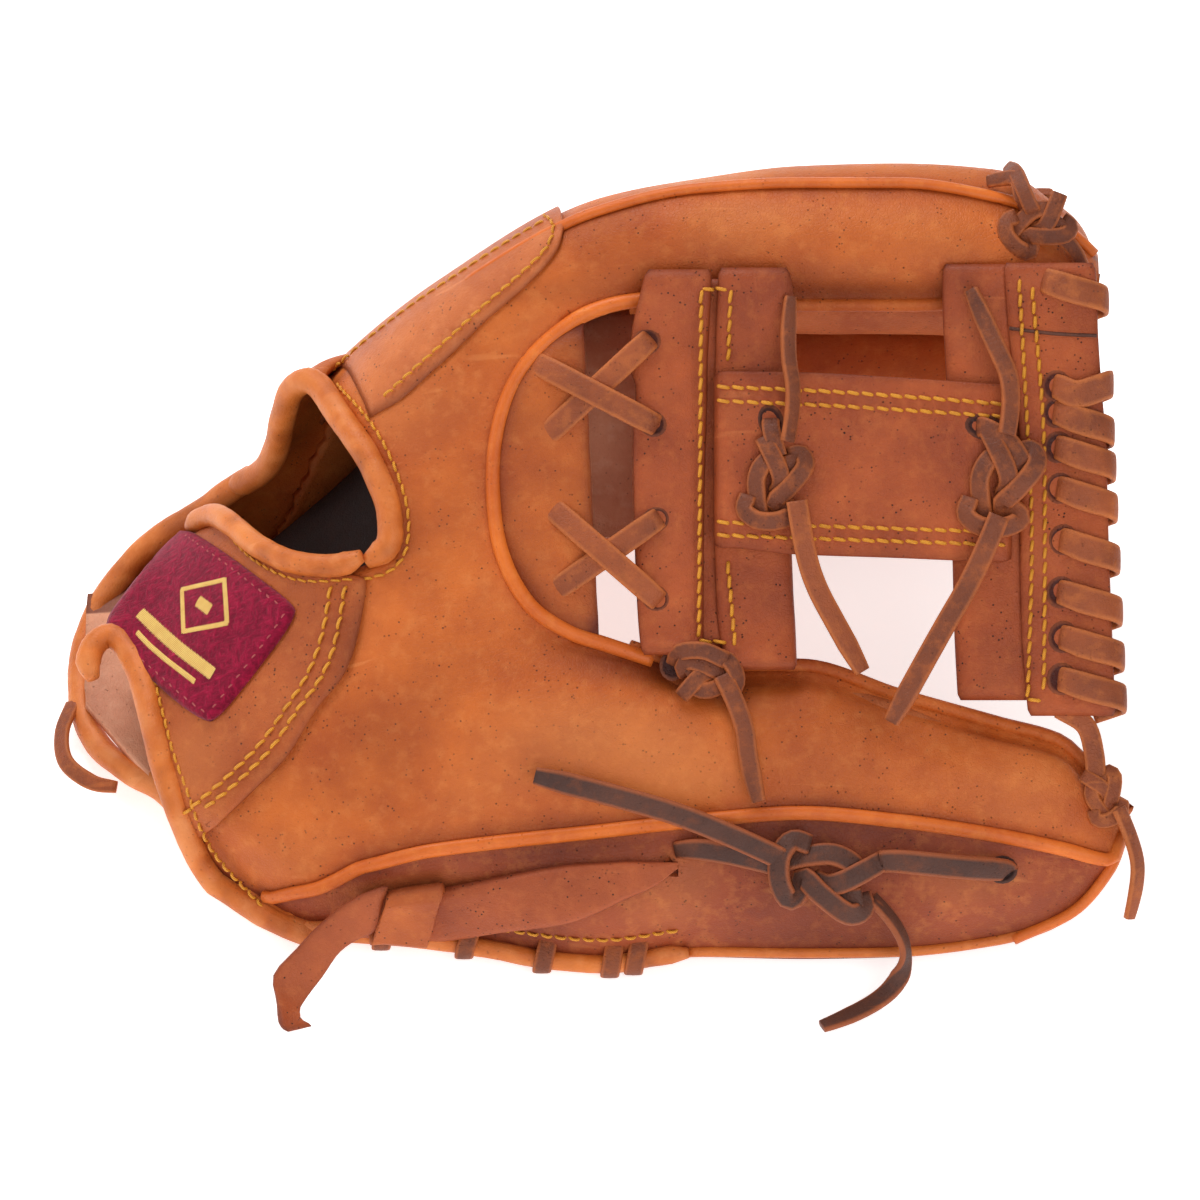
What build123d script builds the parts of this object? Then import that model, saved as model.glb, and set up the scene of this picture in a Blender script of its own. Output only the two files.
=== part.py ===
"""Baseball glove, left hand, I-web, lying palm down on its thumb edge, little finger and heel.

The pieces are drawn in the frame of the web's face and then leaned back onto the floor:
  x  from the heel (negative) to the fingertips (positive)
  d  depth below the web's face, into the pocket
  u  up the face, from the thumb's outer edge to the index finger
A point is written (x, d, u) in millimetres. Each piece is a solid of its own.
"""
from build123d import *
import math
import os

os.makedirs("parts", exist_ok=True)

# ---------------------------------------------------------------- driving dimensions (mm)
LEAN = 50.0            # the web's face leans back this far from upright
ORIGIN = (3.05, -91.4, 13.0)   # the face frame's origin on the floor
SKIN = 3.5             # glove leather, with its lining
STALL_WALL = 3.5
STALL_GAP = 1.6        # half the gap between two finger stalls
STALL_TAPER = 0.17     # each stall is narrower on its palm side
LINING = 1.6
FELT = 4.0
PIPING = 3.2           # welt diameter
BINDING = 7.0          # rolled binding diameter
LACE_WIDTH = 5.5
LACE_THICK = 2.6
TAIL = 4.6             # diameter of the free lace ends
WEB_THICK = 5.6        # a web bar, folded double
CLOSE_ANGLE = 18.0     # thumb half folds this far towards the fingers
OPEN_ANGLE = 8.0       # and this far the other way
FOLD_CLEAR = 1.0       # degrees of spare room at the fold
FOLD_GAP = 0.5

FOLD_HEEL = (-130.0, 50.0, 58.0)   # the pocket's fold line, heel end
FOLD_TIP = (140.0, 4.0, 108.0)     # and fingertip end

# Lines round the hand at stations along x. Columns: thumb edge, thumb welt, thumb cheek, fold,
# web middle, index low, ridge, top, ring back, little back, little edge. Each is (d, u).
BACK = {
    -120: [(33, 37), (21, 47), (20, 58), (24, 70), (38, 92), (50, 104), (60, 110), (71, 113),
           (83, 109), (91, 100), (91, 92)],
    -100: [(24, 19), (9, 37), (8, 54), (11, 70), (21, 97), (33, 114), (46, 124), (64, 129),
           (83, 120), (94, 105), (91, 93)],
    -75: [(18, 7), (3, 34), (0, 54), (1, 74), (8, 110), (15, 134), (25, 150), (48, 156),
          (76, 143), (95, 118), (95, 97)],
    -45: [(16, 4), (-4, 32), (-7, 58), (-5, 80), (1, 118), (3, 152), (12, 174), (40, 180),
          (76, 161), (99, 131), (100, 104)],
    -13: [(13, 1), (-7, 32), (-8, 58), (-3, 84), (0, 125), (-1, 168), (6, 197), (38, 204),
          (80, 183), (107, 147), (105, 110)],
}
PALM = {
    -140: [(62, 67), (65, 70), (68, 74), (71, 77), (76, 84), (79, 88), (82, 91), (84, 94),
           (86, 97), (87, 99), (88, 101)],
    -120: [(42, 43), (50, 52), (56, 60), (62, 67), (70, 79), (75, 87), (79, 92), (83, 96),
           (86, 97), (89, 96), (90, 93)],
    -100: [(30, 23), (42, 38), (51, 51), (57, 63), (65, 79), (70, 89), (75, 96), (80, 99),
           (85, 98), (88, 96), (90, 92)],
    -75: [(25, 13), (38, 32), (45, 50), (50, 66), (56, 88), (61, 102), (68, 113), (75, 116),
          (82, 111), (88, 102), (92, 95)],
    -45: [(21, 9), (30, 32), (31, 55), (33, 78), (38, 108), (44, 130), (52, 144), (62, 145),
          (74, 136), (85, 117), (95, 100)],
    -13: [(19, 5), (27, 30), (26, 58), (26, 84), (28, 120), (30, 150), (37, 168), (52, 168),
          (70, 152), (86, 125), (100, 105)],
}

# Finger stalls: the row of gaps between the fingers at stations along x, each (d, u).
ROW = {
    -12: [(1, 185), (36, 190), (66, 177), (89, 149), (101, 115)],
    30: [(3, 194), (39, 195), (71, 180), (93, 150), (103, 114)],
    80: [(3, 196), (39, 196), (71, 180), (93, 150), (103, 115)],
    106: [(5, 194), (39, 194), (69, 178), (90, 149), (102, 115)],
}
HALF_THICK = {-12: 15.0, 30: 17.0, 80: 18.0, 106: 16.5}
TIPS = {"index": 140.0, "middle": 143.0, "ring": 139.0, "little": 131.0}
# The thumb stall: x, middle d, middle u, half width along u, half thickness along d.
THUMB = [(-12, 8, 43, 42, 14.0), (30, 8, 41, 38.5, 15.0), (62, 8, 40, 38.0, 15.5),
         (90, 8, 37, 32.5, 15.0), (114, 8, 35, 26.0, 12.5), (131, 8, 35, 16.5, 9.0),
         (140, 8, 36, 7.5, 5.0)]
THUMB_TURN = 11.0


# ---------------------------------------------------------------- helpers
def place(shape):
    """Lean a piece back from the face frame onto the floor."""
    return Pos(*ORIGIN) * Rot(X=-LEAN) * shape


def ring(points):
    """A closed smooth wire through points."""
    return Wire([Edge.make_spline([Vector(*p) for p in points], periodic=True)])


def oval(x, d, u, half_a, half_b, turn, taper=0.0, square=2.5, count=12):
    """Points of a squarish oval in the plane at x, wider on its outer side by taper."""
    cos_t, sin_t = math.cos(math.radians(turn)), math.sin(math.radians(turn))
    points = []
    for i in range(count):
        angle = 2 * math.pi * i / count
        c, s = math.cos(angle), math.sin(angle)
        b = half_b * math.copysign(abs(s) ** (2 / square), s)
        a = half_a * math.copysign(abs(c) ** (2 / square), c) * (1 + taper * b / half_b)
        points.append((x, d + a * cos_t - b * sin_t, u + a * sin_t + b * cos_t))
    return points


def loft_through(rings):
    return Solid.make_loft([ring(points) for points in rings])


def normals(line):
    """Unit normals of a (d, u) line, pointing out of the glove."""
    result = []
    for i in range(len(line)):
        before, after = line[max(i - 1, 0)], line[min(i + 1, len(line) - 1)]
        along = (after[0] - before[0], after[1] - before[1])
        size = math.hypot(*along)
        result.append((-along[1] / size, along[0] / size))
    return result


def offset_line(line, out):
    return [(p[0] + n[0] * out, p[1] + n[1] * out) for p, n in zip(line, normals(line))]


def line_at(table, x):
    """The line round the hand at any x between the table's stations."""
    stations = sorted(table)
    low = max([s for s in stations if s <= x] or [stations[0]])
    high = min([s for s in stations if s >= x] or [stations[-1]])
    part = 0.0 if high == low else (x - low) / (high - low)
    return [tuple(a + (b - a) * part for a, b in zip(p, q))
            for p, q in zip(table[low], table[high])]


def band(table, xs, first, last, out, thick):
    """A leather sheet that follows columns first..last of a table, offset outwards by out."""
    wires = []
    for x in xs:
        line = line_at(table, x)
        upper = offset_line(line, out + thick / 2)[first:last + 1]
        lower = offset_line(line, out - thick / 2)[first:last + 1]
        top = [Vector(x, *p) for p in upper]
        bottom = [Vector(x, *p) for p in reversed(lower)]
        wires.append(Wire([Edge.make_spline(top), Edge.make_line(top[-1], bottom[0]),
                           Edge.make_spline(bottom), Edge.make_line(bottom[-1], top[0])]))
    return Solid.make_loft(wires)


def rounded_path(points, name=""):
    """Straight runs joined by arcs as large as the runs allow."""
    route = [Vector(*p) for p in points]
    radii = []
    for before, corner, after in zip(route, route[1:], route[2:]):
        turn = (corner - before).get_angle(after - corner)
        shorter = min((corner - before).length, (after - corner).length)
        radii.append(0.45 * shorter / math.tan(math.radians(turn / 2)))
    if name:
        print(name, "arc radii", [round(r, 1) for r in radii])
    return FilletPolyline(*route, radius=radii)


def rope(points, diameter, name=""):
    """A round piping, binding or lace end along a rounded path."""
    path = rounded_path(points, name)
    start = Plane(origin=path @ 0, z_dir=path % 0)
    tube = sweep(start * Circle(diameter / 2), path=path)
    if name:
        whole = math.pi * (diameter / 2) ** 2 * path.length
        print(name, "length %.1f mm, volume %.3f of section times length"
              % (path.length, tube.volume / whole))
    return tube


def strip(start, end, width, thick, roll=0.0):
    """A flat lace or strap from start to end, its width square to the view of the face."""
    a, b = Vector(*start), Vector(*end)
    along = (b - a).normalized()
    face = Vector(0, 1, 0)
    frame = Plane(origin=(a + b) / 2, x_dir=along, z_dir=(face - along * along.dot(face)))
    return frame * (Rot(X=roll) * Box((b - a).length, width, thick))


def slab(x0, x1, u0, u1, d0, d1, corner):
    """A flat plate on the face with rounded corners."""
    base = Plane(origin=((x0 + x1) / 2, d1, (u0 + u1) / 2), x_dir=(1, 0, 0), z_dir=(0, -1, 0))
    outline = base * RectangleRounded(x1 - x0, u1 - u0, corner)
    return extrude(outline, amount=d1 - d0)


def knot(x, d, u, long, wide, deep):
    """The outer shape of a tied lace."""
    return Pos(x, d, u) * scale(Sphere(1), (long / 2, deep / 2, wide / 2))


def fold_plane(point, tip, out, angle):
    """A plane through a fold line, turned about it by angle from the direction out."""
    axis = (Vector(*tip) - Vector(*point)).normalized()
    side = Vector(*out)
    side = (side - axis * axis.dot(side)).normalized()
    flat = side.rotate(Axis((0, 0, 0), tuple(axis)), angle)
    return Plane(origin=Vector(*point), x_dir=axis, z_dir=axis.cross(flat))


def above_fold(shape):
    """Keep the finger half: what lies above the fold line."""
    plane = fold_plane(FOLD_HEEL, FOLD_TIP, (0, 1, 0), 0).offset(FOLD_GAP)
    return split(shape, bisect_by=plane, keep=Keep.TOP)


def below_fold(shape):
    """Keep the thumb half, with room for it to close and open."""
    inner = fold_plane(FOLD_HEEL, FOLD_TIP, (0, 1, 0), -(CLOSE_ANGLE + FOLD_CLEAR))
    outer = fold_plane(FOLD_HEEL, FOLD_TIP, (0, 1, 0), OPEN_ANGLE + FOLD_CLEAR)
    kept = split(shape, bisect_by=inner.offset(-FOLD_GAP), keep=Keep.BOTTOM)
    return split(kept, bisect_by=outer.offset(-FOLD_GAP), keep=Keep.BOTTOM)


# ---------------------------------------------------------------- stalls
def finger_rings(index, tip, wall):
    """Section rings of one finger stall, or of the room inside it."""
    rings = []
    for x in sorted(ROW):
        (d0, u0), (d1, u1) = ROW[x][index], ROW[x][index + 1]
        half = math.hypot(d1 - d0, u1 - u0) / 2 - STALL_GAP - wall
        turn = math.degrees(math.atan2(u1 - u0, d1 - d0))
        rings.append((x, (d0 + d1) / 2, (u0 + u1) / 2, half, HALF_THICK[x] - wall, turn,
                      STALL_TAPER))
    x, d, u, half, thick, turn, taper = rings[-1]
    end = tip - wall * 2
    rings.append((end - 11, d, u - 3, half * 0.78, thick * 0.74, turn, taper))
    rings.append((end, d, u - 5, half * 0.34, thick * 0.28, turn, taper))
    if wall:
        rings[0] = (rings[0][0] - 0.5,) + rings[0][1:]
    return [oval(*r) for r in rings]


def finger_stall(index, tip):
    return loft_through(finger_rings(index, tip, 0)) - loft_through(
        finger_rings(index, tip, STALL_WALL))


def thumb_stall():
    outer = [oval(x, d, u, deep, wide, THUMB_TURN) for x, d, u, wide, deep in THUMB]
    inner = [oval(x - (0.5 if x == THUMB[0][0] else 0), d, u, deep - STALL_WALL,
                  wide - STALL_WALL, THUMB_TURN) for x, d, u, wide, deep in THUMB[:-1]]
    return loft_through(outer) - loft_through(inner)


SHELL_XS = (-98, -75, -45, -13.5)
LITTLE_XS = (-118, -98, -75, -45, -13.5)
THUMB_XS = (-110, -98, -75, -45, -13.5)
PALM_XS = (-138, -120, -100, -75, -45, -13.5)
WEB_BACK = -1.4                       # the web bars' back and front, along d
WEB_FRONT = WEB_BACK - WEB_THICK
BRIDGE_FRONT = WEB_FRONT - 4.3
CROTCH = (0.0, 131.0, 27.0, 45.0)     # x, u and half sizes of the panel at the web's base


def crotch_block(grow):
    x, u, half_x, half_u = CROTCH
    base = Plane(origin=(x, 40, u), x_dir=(1, 0, 0), z_dir=(0, -1, 0))
    return extrude(base * Ellipse(half_x + grow, half_u + grow), amount=70)


def stalls():
    return {
        "index_stall": finger_stall(0, TIPS["index"]),
        "middle_stall": finger_stall(1, TIPS["middle"]),
        "ring_stall": finger_stall(2, TIPS["ring"]),
        "little_stall": finger_stall(3, TIPS["little"]),
        "thumb_stall": below_fold(thumb_stall()),
    }


def shells():
    """The leather round the hand, and the pads and lining inside it."""
    parts = {}
    back = band(BACK, SHELL_XS, 3, 8, 0, SKIN) - slab(-92, -60, 112, 168, -30, 72, 12)
    back = above_fold(split(back, bisect_by=Plane.YZ.offset(-86), keep=Keep.TOP))
    parts["back_shell"] = back - crotch_block(0.4)
    web_root = band(BACK, (-45, -13.5, -1.5), 3, 6, 0, SKIN)
    web_root -= slab(-13.2, 0, 60, 92, -30, 30, 1) + slab(-13.2, 0, 166, 200, -30, 30, 1)
    parts["crotch_panel"] = above_fold(web_root & crotch_block(0))
    parts["little_back"] = band(BACK, LITTLE_XS, 8, 10, 0, SKIN)
    parts["thumb_back"] = below_fold(band(BACK, THUMB_XS, 0, 4, 0, SKIN))
    palm = band(PALM, PALM_XS, 0, 10, 0, SKIN)
    parts["palm_shell"] = above_fold(palm)
    parts["thumb_palm"] = below_fold(palm)
    felt_out = SKIN / 2 + FELT / 2 + 0.3
    heel_felt = band(PALM, (-128, -120, -100, -84), 4, 8, felt_out, FELT)
    parts["heel_pad"] = above_fold(heel_felt)
    thumb_felt = band(PALM, (-112, -100, -75, -45, -20), 1, 3, felt_out, FELT)
    parts["thumb_felt"] = below_fold(thumb_felt)
    parts["palm_pad"] = above_fold(band(PALM, (-80, -62, -45, -20), 4, 8, felt_out, FELT))
    lining_out = SKIN / 2 + FELT + 0.6 + LINING / 2
    lining = band(PALM, (-122, -100, -75, -45, -16), 3, 8, lining_out, LINING)
    parts["palm_lining"] = above_fold(lining)
    return parts


def wrist():
    """The strap over the wrist, its felt patch, and the rolled bindings."""
    parts = {}
    strap_out = SKIN / 2 + 0.4 + 1.4
    strap = band(BACK, (-134, -120, -100, -72), 3, 9, strap_out, 2.8)
    strap -= slab(-95, -50, 108, 168, -30, 74, 8)
    end = Plane(origin=(-68, 0, 100), x_dir=(0, 1, 0), z_dir=(54, 0, -43))
    parts["wrist_strap"] = above_fold(split(strap, bisect_by=end, keep=Keep.BOTTOM))
    felt = band(BACK, (-132, -120, -100, -80), 3, 8, strap_out + 2.5, 1.8)
    patch_x, patch_u, patch_turn = -107.0, 90.0, -22.0
    frame = Plane(origin=(patch_x, 60, patch_u), x_dir=(1, 0, 0), z_dir=(0, -1, 0))
    block = extrude(frame * Rot(Z=patch_turn) * RectangleRounded(44, 40, 6), amount=90)
    parts["patch"] = above_fold(felt & block)
    parts["strap_top_binding"] = rope([(-107, 38, 120), (-96, 29, 118), (-86, 15, 109),
                                       (-76, 6, 106), (-65, 1, 109)], 5.0)
    opening = [(-88, 22, 153), (-79, 18, 157), (-69, 12, 151), (-61, 7, 137), (-55, 1, 122),
               (-56, -3, 111)]
    parts["opening_binding"] = rope(opening, 5.0)
    low = rope([(-138, 31, 84), (-127, 23, 76), (-118, 15, 58), (-108, 8, 36), (-96, 12, 16),
                (-84, 15, 8)], 6.0)
    parts["strap_binding"] = above_fold(low)
    parts["thumb_binding"] = below_fold(low)
    heel = rope([(-96, 69, 131), (-121, 85, 112), (-142, 82, 95), (-146, 76, 84),
                 (-142, 66, 70), (-131, 55, 56), (-119, 42, 41), (-101, 25.5, 20),
                 (-84, 19, 9)], BINDING)
    parts["heel_binding"] = above_fold(heel)
    parts["thumb_heel_binding"] = below_fold(heel)
    return parts


def web():
    """The I-web: two upright bars, the bridge between them, and what laces them in."""
    parts = {}
    parts["web_base_bar"] = above_fold(slab(9.5, 53, 78, 188, WEB_FRONT, WEB_BACK, 5))
    tip_bar = slab(92, 138, 65.5, 189, WEB_FRONT, WEB_BACK, 4)
    parts["web_tip_bar"] = above_fold(tip_bar)
    parts["web_tip_bar_end"] = below_fold(tip_bar)
    parts["web_bridge"] = slab(31, 109, 108, 159, BRIDGE_FRONT, WEB_FRONT - 0.3, 3)
    lace_d = WEB_FRONT - 0.3 - LACE_THICK / 2
    wraps = [(185, 180), (157, 153), (147, 149), (140, 143), (128, 132), (114, 118)]
    parts["web_lace"] = Compound([strip((125, lace_d, u0), (139.5, lace_d, u1), LACE_WIDTH,
                                        LACE_THICK) for u0, u1 in wraps])
    ends = [(96, 99), (84, 87), (73, 75)]
    parts["web_lace_end"] = Compound([strip((125, lace_d, u0), (139.5, lace_d, u1), LACE_WIDTH,
                                            LACE_THICK) for u0, u1 in ends])
    near = WEB_FRONT - 0.4 - LACE_THICK / 2
    far = near - LACE_THICK - 0.2
    crosses = [((-16, near, 158), (13.5, near, 143)), ((-15, far, 140.5), (13.5, far, 166)),
               ((-13.5, near, 97), (15, near, 121.6)), ((-12, far, 121.6), (15, far, 97))]
    parts["crotch_lace"] = Compound([strip(a, b, LACE_WIDTH, LACE_THICK) for a, b in crosses])
    parts["web_knot_left"] = knot(48.6, BRIDGE_FRONT - 4.6, 131, 19, 21, 8)
    parts["web_knot_right"] = knot(110, BRIDGE_FRONT - 4.6, 131, 21, 24, 8)
    parts["index_tip_knot"] = knot(119, -5, 199, 15, 16, 9)
    return parts


def trim():
    """Pipings, the index pad, and the laces that close the edges."""
    parts = {}
    parts["index_piping"] = rope([(-5, 2, 203), (27, 1, 211), (62, 0.5, 214), (97, 0.5, 211.5),
                                  (121, 3, 203.5), (134, 8, 193)], PIPING)
    ring_line = [(0, -4.5, 176), (-14, -4.2, 169), (-23, -3.2, 155), (-28.5, -3, 138),
                 (-28.5, -3.6, 122), (-23, -5, 106), (-13, -7, 94)]
    parts["crotch_piping"] = rope(ring_line, PIPING)
    welt = [(-86, 9, 16), (-67, 1, 25.7), (-46, -8.5, 30), (-11, -11.2, 32), (27, -9.6, 38),
            (54, -10.4, 39.5), (81, -9.4, 37.5), (108, -7.4, 34), (136, 1, 29)]
    parts["thumb_piping"] = rope(welt, PIPING)
    pad = band(BACK, (-76, -45, -13.5), 4, 8, SKIN / 2 + 0.3 + 1.2, 2.4)
    frame = Plane(origin=(-42, 36, 172), x_dir=(1, 0, 0), z_dir=(0, -1, 0))
    block = extrude(frame * Rot(Z=39) * RectangleRounded(82, 23, 10), amount=60)
    parts["index_pad"] = pad & block
    parts["finger_lace"] = Compound([
        strip((122, 42, 208), (122, 52, 204), LACE_WIDTH, LACE_THICK),
        strip((122, 80, 186), (122, 87, 176), LACE_WIDTH, LACE_THICK),
        strip((119, 104, 150), (119, 108, 139), LACE_WIDTH, LACE_THICK)])
    parts["heel_lace_end"] = rope([(-146, 66, 69), (-147.5, 60, 60), (-144, 51, 51),
                                   (-133, 47, 46)], 4.0)
    return parts


def thumb_side():
    """The laces, knots and adjusting strap on the thumb."""
    parts = {}
    parts["base_knot"] = knot(26, -9.8, 77, 15, 11, 8)
    parts["thumb_knot"] = knot(62, -9.5, 20, 27, 20, 9)
    parts["thumb_tip_knot"] = knot(137, -8, 45, 10, 12, 7)
    parts["thumb_strap"] = strip((-62, 3, 11), (26, -9.5, 21), 15, 3.0, 38)
    parts["strap_keeper"] = strip((-60, 0, 9.5), (-44, -2.5, 11), 21, 2.2, 38)
    parts["strap_tail"] = Compound([
        strip((-66, 1, 11), (-86, 2.5, -7), 15, 3.0, 38),
        strip((-86.4, 1.0, -8), (-80, -4.2, -19), 8, 2.6, 38)])
    edge = [(-58, 3), (-36.5, 2.5), (-15, 1.5), (4, 1), (10.5, 1)]
    parts["edge_lace"] = Compound([strip((x, 9.5, u), (x + 1.5, 3.5, u + 6.5), LACE_WIDTH,
                                         LACE_THICK, 0) for x, u in edge])
    return parts


# The free lace ends. Each is its own node; the points are the corners of its route.
TAILS = {
    "web_tail_left_up": [(50.5, -17.5, 140), (52.9, -16.8, 152), (50.0, -15.2, 165),
                         (51.4, -11.5, 179)],
    "web_tail_left_down": [(53.0, -17.0, 124), (54.5, -16.5, 113.5), (57.5, -15.0, 102),
                           (63.8, -13.0, 90.5), (70.8, -12.0, 78)],
    "web_tail_right_up": [(109.5, -17.5, 142), (112.0, -16.5, 154), (105.8, -14.2, 167.5),
                          (100.0, -11.5, 181)],
    "web_tail_right_down": [(107.5, -17.0, 120), (101.5, -17.4, 105), (91.0, -17.4, 87.5),
                            (78.4, -17.0, 64.3)],
    "base_tail": [(33.0, -10.0, 77), (39.0, -12.0, 65.5), (39.9, -12.8, 53.5),
                  (42.8, -13.6, 43)],
    "thumb_tail_long": [(49.0, -12.5, 27.5), (28.0, -15.0, 37.5), (5.4, -14.4, 44.3),
                        (-17.6, -14.0, 50)],
    "thumb_tail_floor": [(73.5, -8.0, 16.8), (82.0, -5.5, 8.5), (83.0, 1.0, -3.0),
                         (74.0, 3.0, -13.0), (60.0, -1.8, -17.9)],
    "thumb_tip_tail": [(140.0, -8.5, 41), (144.8, -7.5, 30.5), (145.4, -4.5, 20.5),
                       (143.0, -1.0, 11.4)],
}


def build():
    """Every piece in the face frame, by node name."""
    parts = {}
    for group in (stalls, shells, wrist, web, trim, thumb_side):
        parts.update(group())
    for name, points in TAILS.items():
        parts[name] = rope(points, TAIL, name)
    return parts


def main():
    for name, shape in build().items():
        solid = place(shape)
        box = solid.bounding_box()
        print("%-18s solids %d vol %8.0f  x %.1f..%.1f y %.1f..%.1f z %.1f..%.1f" % (
            name, len(solid.solids()), solid.volume, box.min.X, box.max.X, box.min.Y,
            box.max.Y, box.min.Z, box.max.Z))
        export_step(solid, "parts/%s.step" % name)


main()
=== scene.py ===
import math

import bpy
import numpy as np
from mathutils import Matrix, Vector, noise

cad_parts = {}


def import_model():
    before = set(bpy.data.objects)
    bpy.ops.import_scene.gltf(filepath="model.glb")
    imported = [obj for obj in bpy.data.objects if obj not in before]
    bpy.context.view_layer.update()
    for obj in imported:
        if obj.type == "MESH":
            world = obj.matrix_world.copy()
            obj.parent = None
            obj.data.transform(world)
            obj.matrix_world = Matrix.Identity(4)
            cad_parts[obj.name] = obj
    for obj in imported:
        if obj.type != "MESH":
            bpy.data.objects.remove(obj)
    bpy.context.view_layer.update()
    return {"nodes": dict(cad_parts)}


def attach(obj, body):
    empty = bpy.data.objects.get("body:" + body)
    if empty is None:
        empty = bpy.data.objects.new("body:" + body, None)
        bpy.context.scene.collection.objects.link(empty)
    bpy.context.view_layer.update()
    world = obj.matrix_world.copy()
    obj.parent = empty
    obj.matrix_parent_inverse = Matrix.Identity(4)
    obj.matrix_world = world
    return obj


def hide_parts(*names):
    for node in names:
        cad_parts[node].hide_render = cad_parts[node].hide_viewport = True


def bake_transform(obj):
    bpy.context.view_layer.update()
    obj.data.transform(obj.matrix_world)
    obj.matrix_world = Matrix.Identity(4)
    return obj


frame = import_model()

# The glove is drawn in the frame of its web's face, in millimetres:
#   x along the glove to the fingertips, d depth behind the face, u up the face.
LEAN = math.radians(50)
ORIGIN = (3.05, -91.4, 13.0)
FOLD_HEEL = (-130.0, 50.0, 58.0)
FOLD_TIP = (140.0, 4.0, 108.0)
SKIN = 2.6                               # the leather's thickness
FLOOR_GAP = 0.0002                       # metres that the lowest leather keeps above the floor
OUT = np.array((0.0, -1.0, 0.0))         # out of the face, towards whoever looks at it


# ---------------------------------------------------------------- frame and curves
def world(points):
    """Metres in the shared frame, from points of the face frame."""
    p = np.asarray(points, float).reshape(-1, 3)
    c, s = math.cos(LEAN), math.sin(LEAN)
    y = ORIGIN[1] + p[:, 1] * c + p[:, 2] * s
    z = ORIGIN[2] - p[:, 1] * s + p[:, 2] * c
    return np.stack((ORIGIN[0] + p[:, 0], y, z), axis=1) / 1000


def at(x, d, u):
    return Vector(world([(x, d, u)])[0])


def face_frame(points):
    """Face-frame millimetres, from points in metres."""
    p = np.asarray(points, float).reshape(-1, 3) * 1000 - np.array(ORIGIN)
    c, s = math.cos(LEAN), math.sin(LEAN)
    return np.stack((p[:, 0], p[:, 1] * c - p[:, 2] * s, p[:, 1] * s + p[:, 2] * c), axis=1)


def unit(v):
    v = np.asarray(v, float)
    return v / (np.linalg.norm(v) + 1e-9)


def eased(keys, values, x):
    """A smooth curve through one row of values per key, which never overshoots them."""
    keys = np.asarray(keys, float)
    values = np.asarray(values, float).reshape(len(keys), -1)
    i = int(np.clip(np.searchsorted(keys, x) - 1, 0, len(keys) - 2))
    slope = np.diff(values, axis=0) / np.diff(keys)[:, None]

    def tangent(k):
        if k in (0, len(keys) - 1):
            return slope[0 if k == 0 else -1]
        a, b = slope[k - 1], slope[k]
        return np.where(a * b > 0, 2 * a * b / (a + b + 1e-12 * np.sign(a + b) + 1e-15), 0)

    h = keys[i + 1] - keys[i]
    t = float(np.clip((x - keys[i]) / h, 0, 1))
    a, b = values[i], values[i + 1]
    return ((1 + 2 * t) * (1 - t) ** 2 * a + t * (1 - t) ** 2 * h * tangent(i)
            + t * t * (3 - 2 * t) * b + t * t * (t - 1) * h * tangent(i + 1))


def between(rows, i, t):
    """The point at t from row i to the next on a smooth curve through the rows, and its slope."""
    a, b = rows[i], rows[i + 1]
    before = rows[i - 1] if i > 0 else 2 * a - b
    after = rows[i + 2] if i + 2 < len(rows) else 2 * b - a
    first, second, third = b - before, 2 * before - 5 * a + 4 * b - after, 3 * a - before - 3 * b + after
    return (0.5 * (2 * a + first * t + second * t * t + third * t ** 3),
            0.5 * (first + 2 * second * t + 3 * third * t * t))


def spline(points, step=1.5):
    """A smooth line through points, sampled about every step mm."""
    p = np.asarray(points, float)
    line = []
    for i in range(len(p) - 1):
        count = max(2, int(np.linalg.norm(p[i + 1] - p[i]) / step))
        line += [between(p, i, k / count)[0] for k in range(count)]
    return np.array(line + [p[-1]])


def evenly(line, step):
    """The same line with its points about every step mm."""
    line = np.asarray(line, float)
    run = np.concatenate(([0], np.cumsum(np.linalg.norm(np.diff(line, axis=0), axis=1))))
    count = max(2, int(round(run[-1] / step)) + 1)
    where = np.linspace(0, run[-1], count)
    return np.stack([np.interp(where, run, line[:, k]) for k in range(3)], axis=1)


def tangents(line):
    t = np.gradient(np.asarray(line, float), axis=0)
    return t / (np.linalg.norm(t, axis=1)[:, None] + 1e-9)


def spread(ups, count):
    """An up direction for each of count points, from one for all of them or a few along the line."""
    ups = np.asarray(ups, float)
    if ups.ndim == 1:
        return np.repeat(ups[None], count, axis=0)
    keys, where = np.linspace(0, 1, len(ups)), np.linspace(0, 1, count)
    return np.stack([np.interp(where, keys, ups[:, k]) for k in range(3)], axis=1)


# ---------------------------------------------------------------- mesh pieces
def piece(name, points, faces, material, shade=None, panel=None):
    """A mesh from face-frame points. shade darkens or lightens the material point by point, and
    panel, from 0 to 1, says which of a two-tone leather's panels a point is on."""
    mesh = bpy.data.meshes.new(name)
    mesh.from_pydata([tuple(p) for p in world(points)], [], faces)
    mesh.update()
    layer = mesh.attributes.new("shade", "FLOAT", "POINT")
    values = np.ones(len(mesh.vertices)) if shade is None else np.asarray(shade, float)
    layer.data.foreach_set("value", values.astype(np.float32))
    if panel is not None:
        layer = mesh.attributes.new("panel", "FLOAT", "POINT")
        layer.data.foreach_set("value", np.asarray(panel, np.float32))
    mesh.materials.append(material)
    for polygon in mesh.polygons:
        polygon.use_smooth = True
    obj = bpy.data.objects.new(name, mesh)
    bpy.context.scene.collection.objects.link(obj)
    return obj


def grid_faces(rows, columns, wrap=False):
    """The quads of a grid of points, given row by row; wrap joins the last column to the first."""
    faces = []
    for r in range(rows - 1):
        for c in range(columns if wrap else columns - 1):
            n = (c + 1) % columns
            faces.append((r * columns + c, r * columns + n, (r + 1) * columns + n, (r + 1) * columns + c))
    return faces


def flipped(faces):
    return [tuple(reversed(f)) for f in faces]


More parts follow.
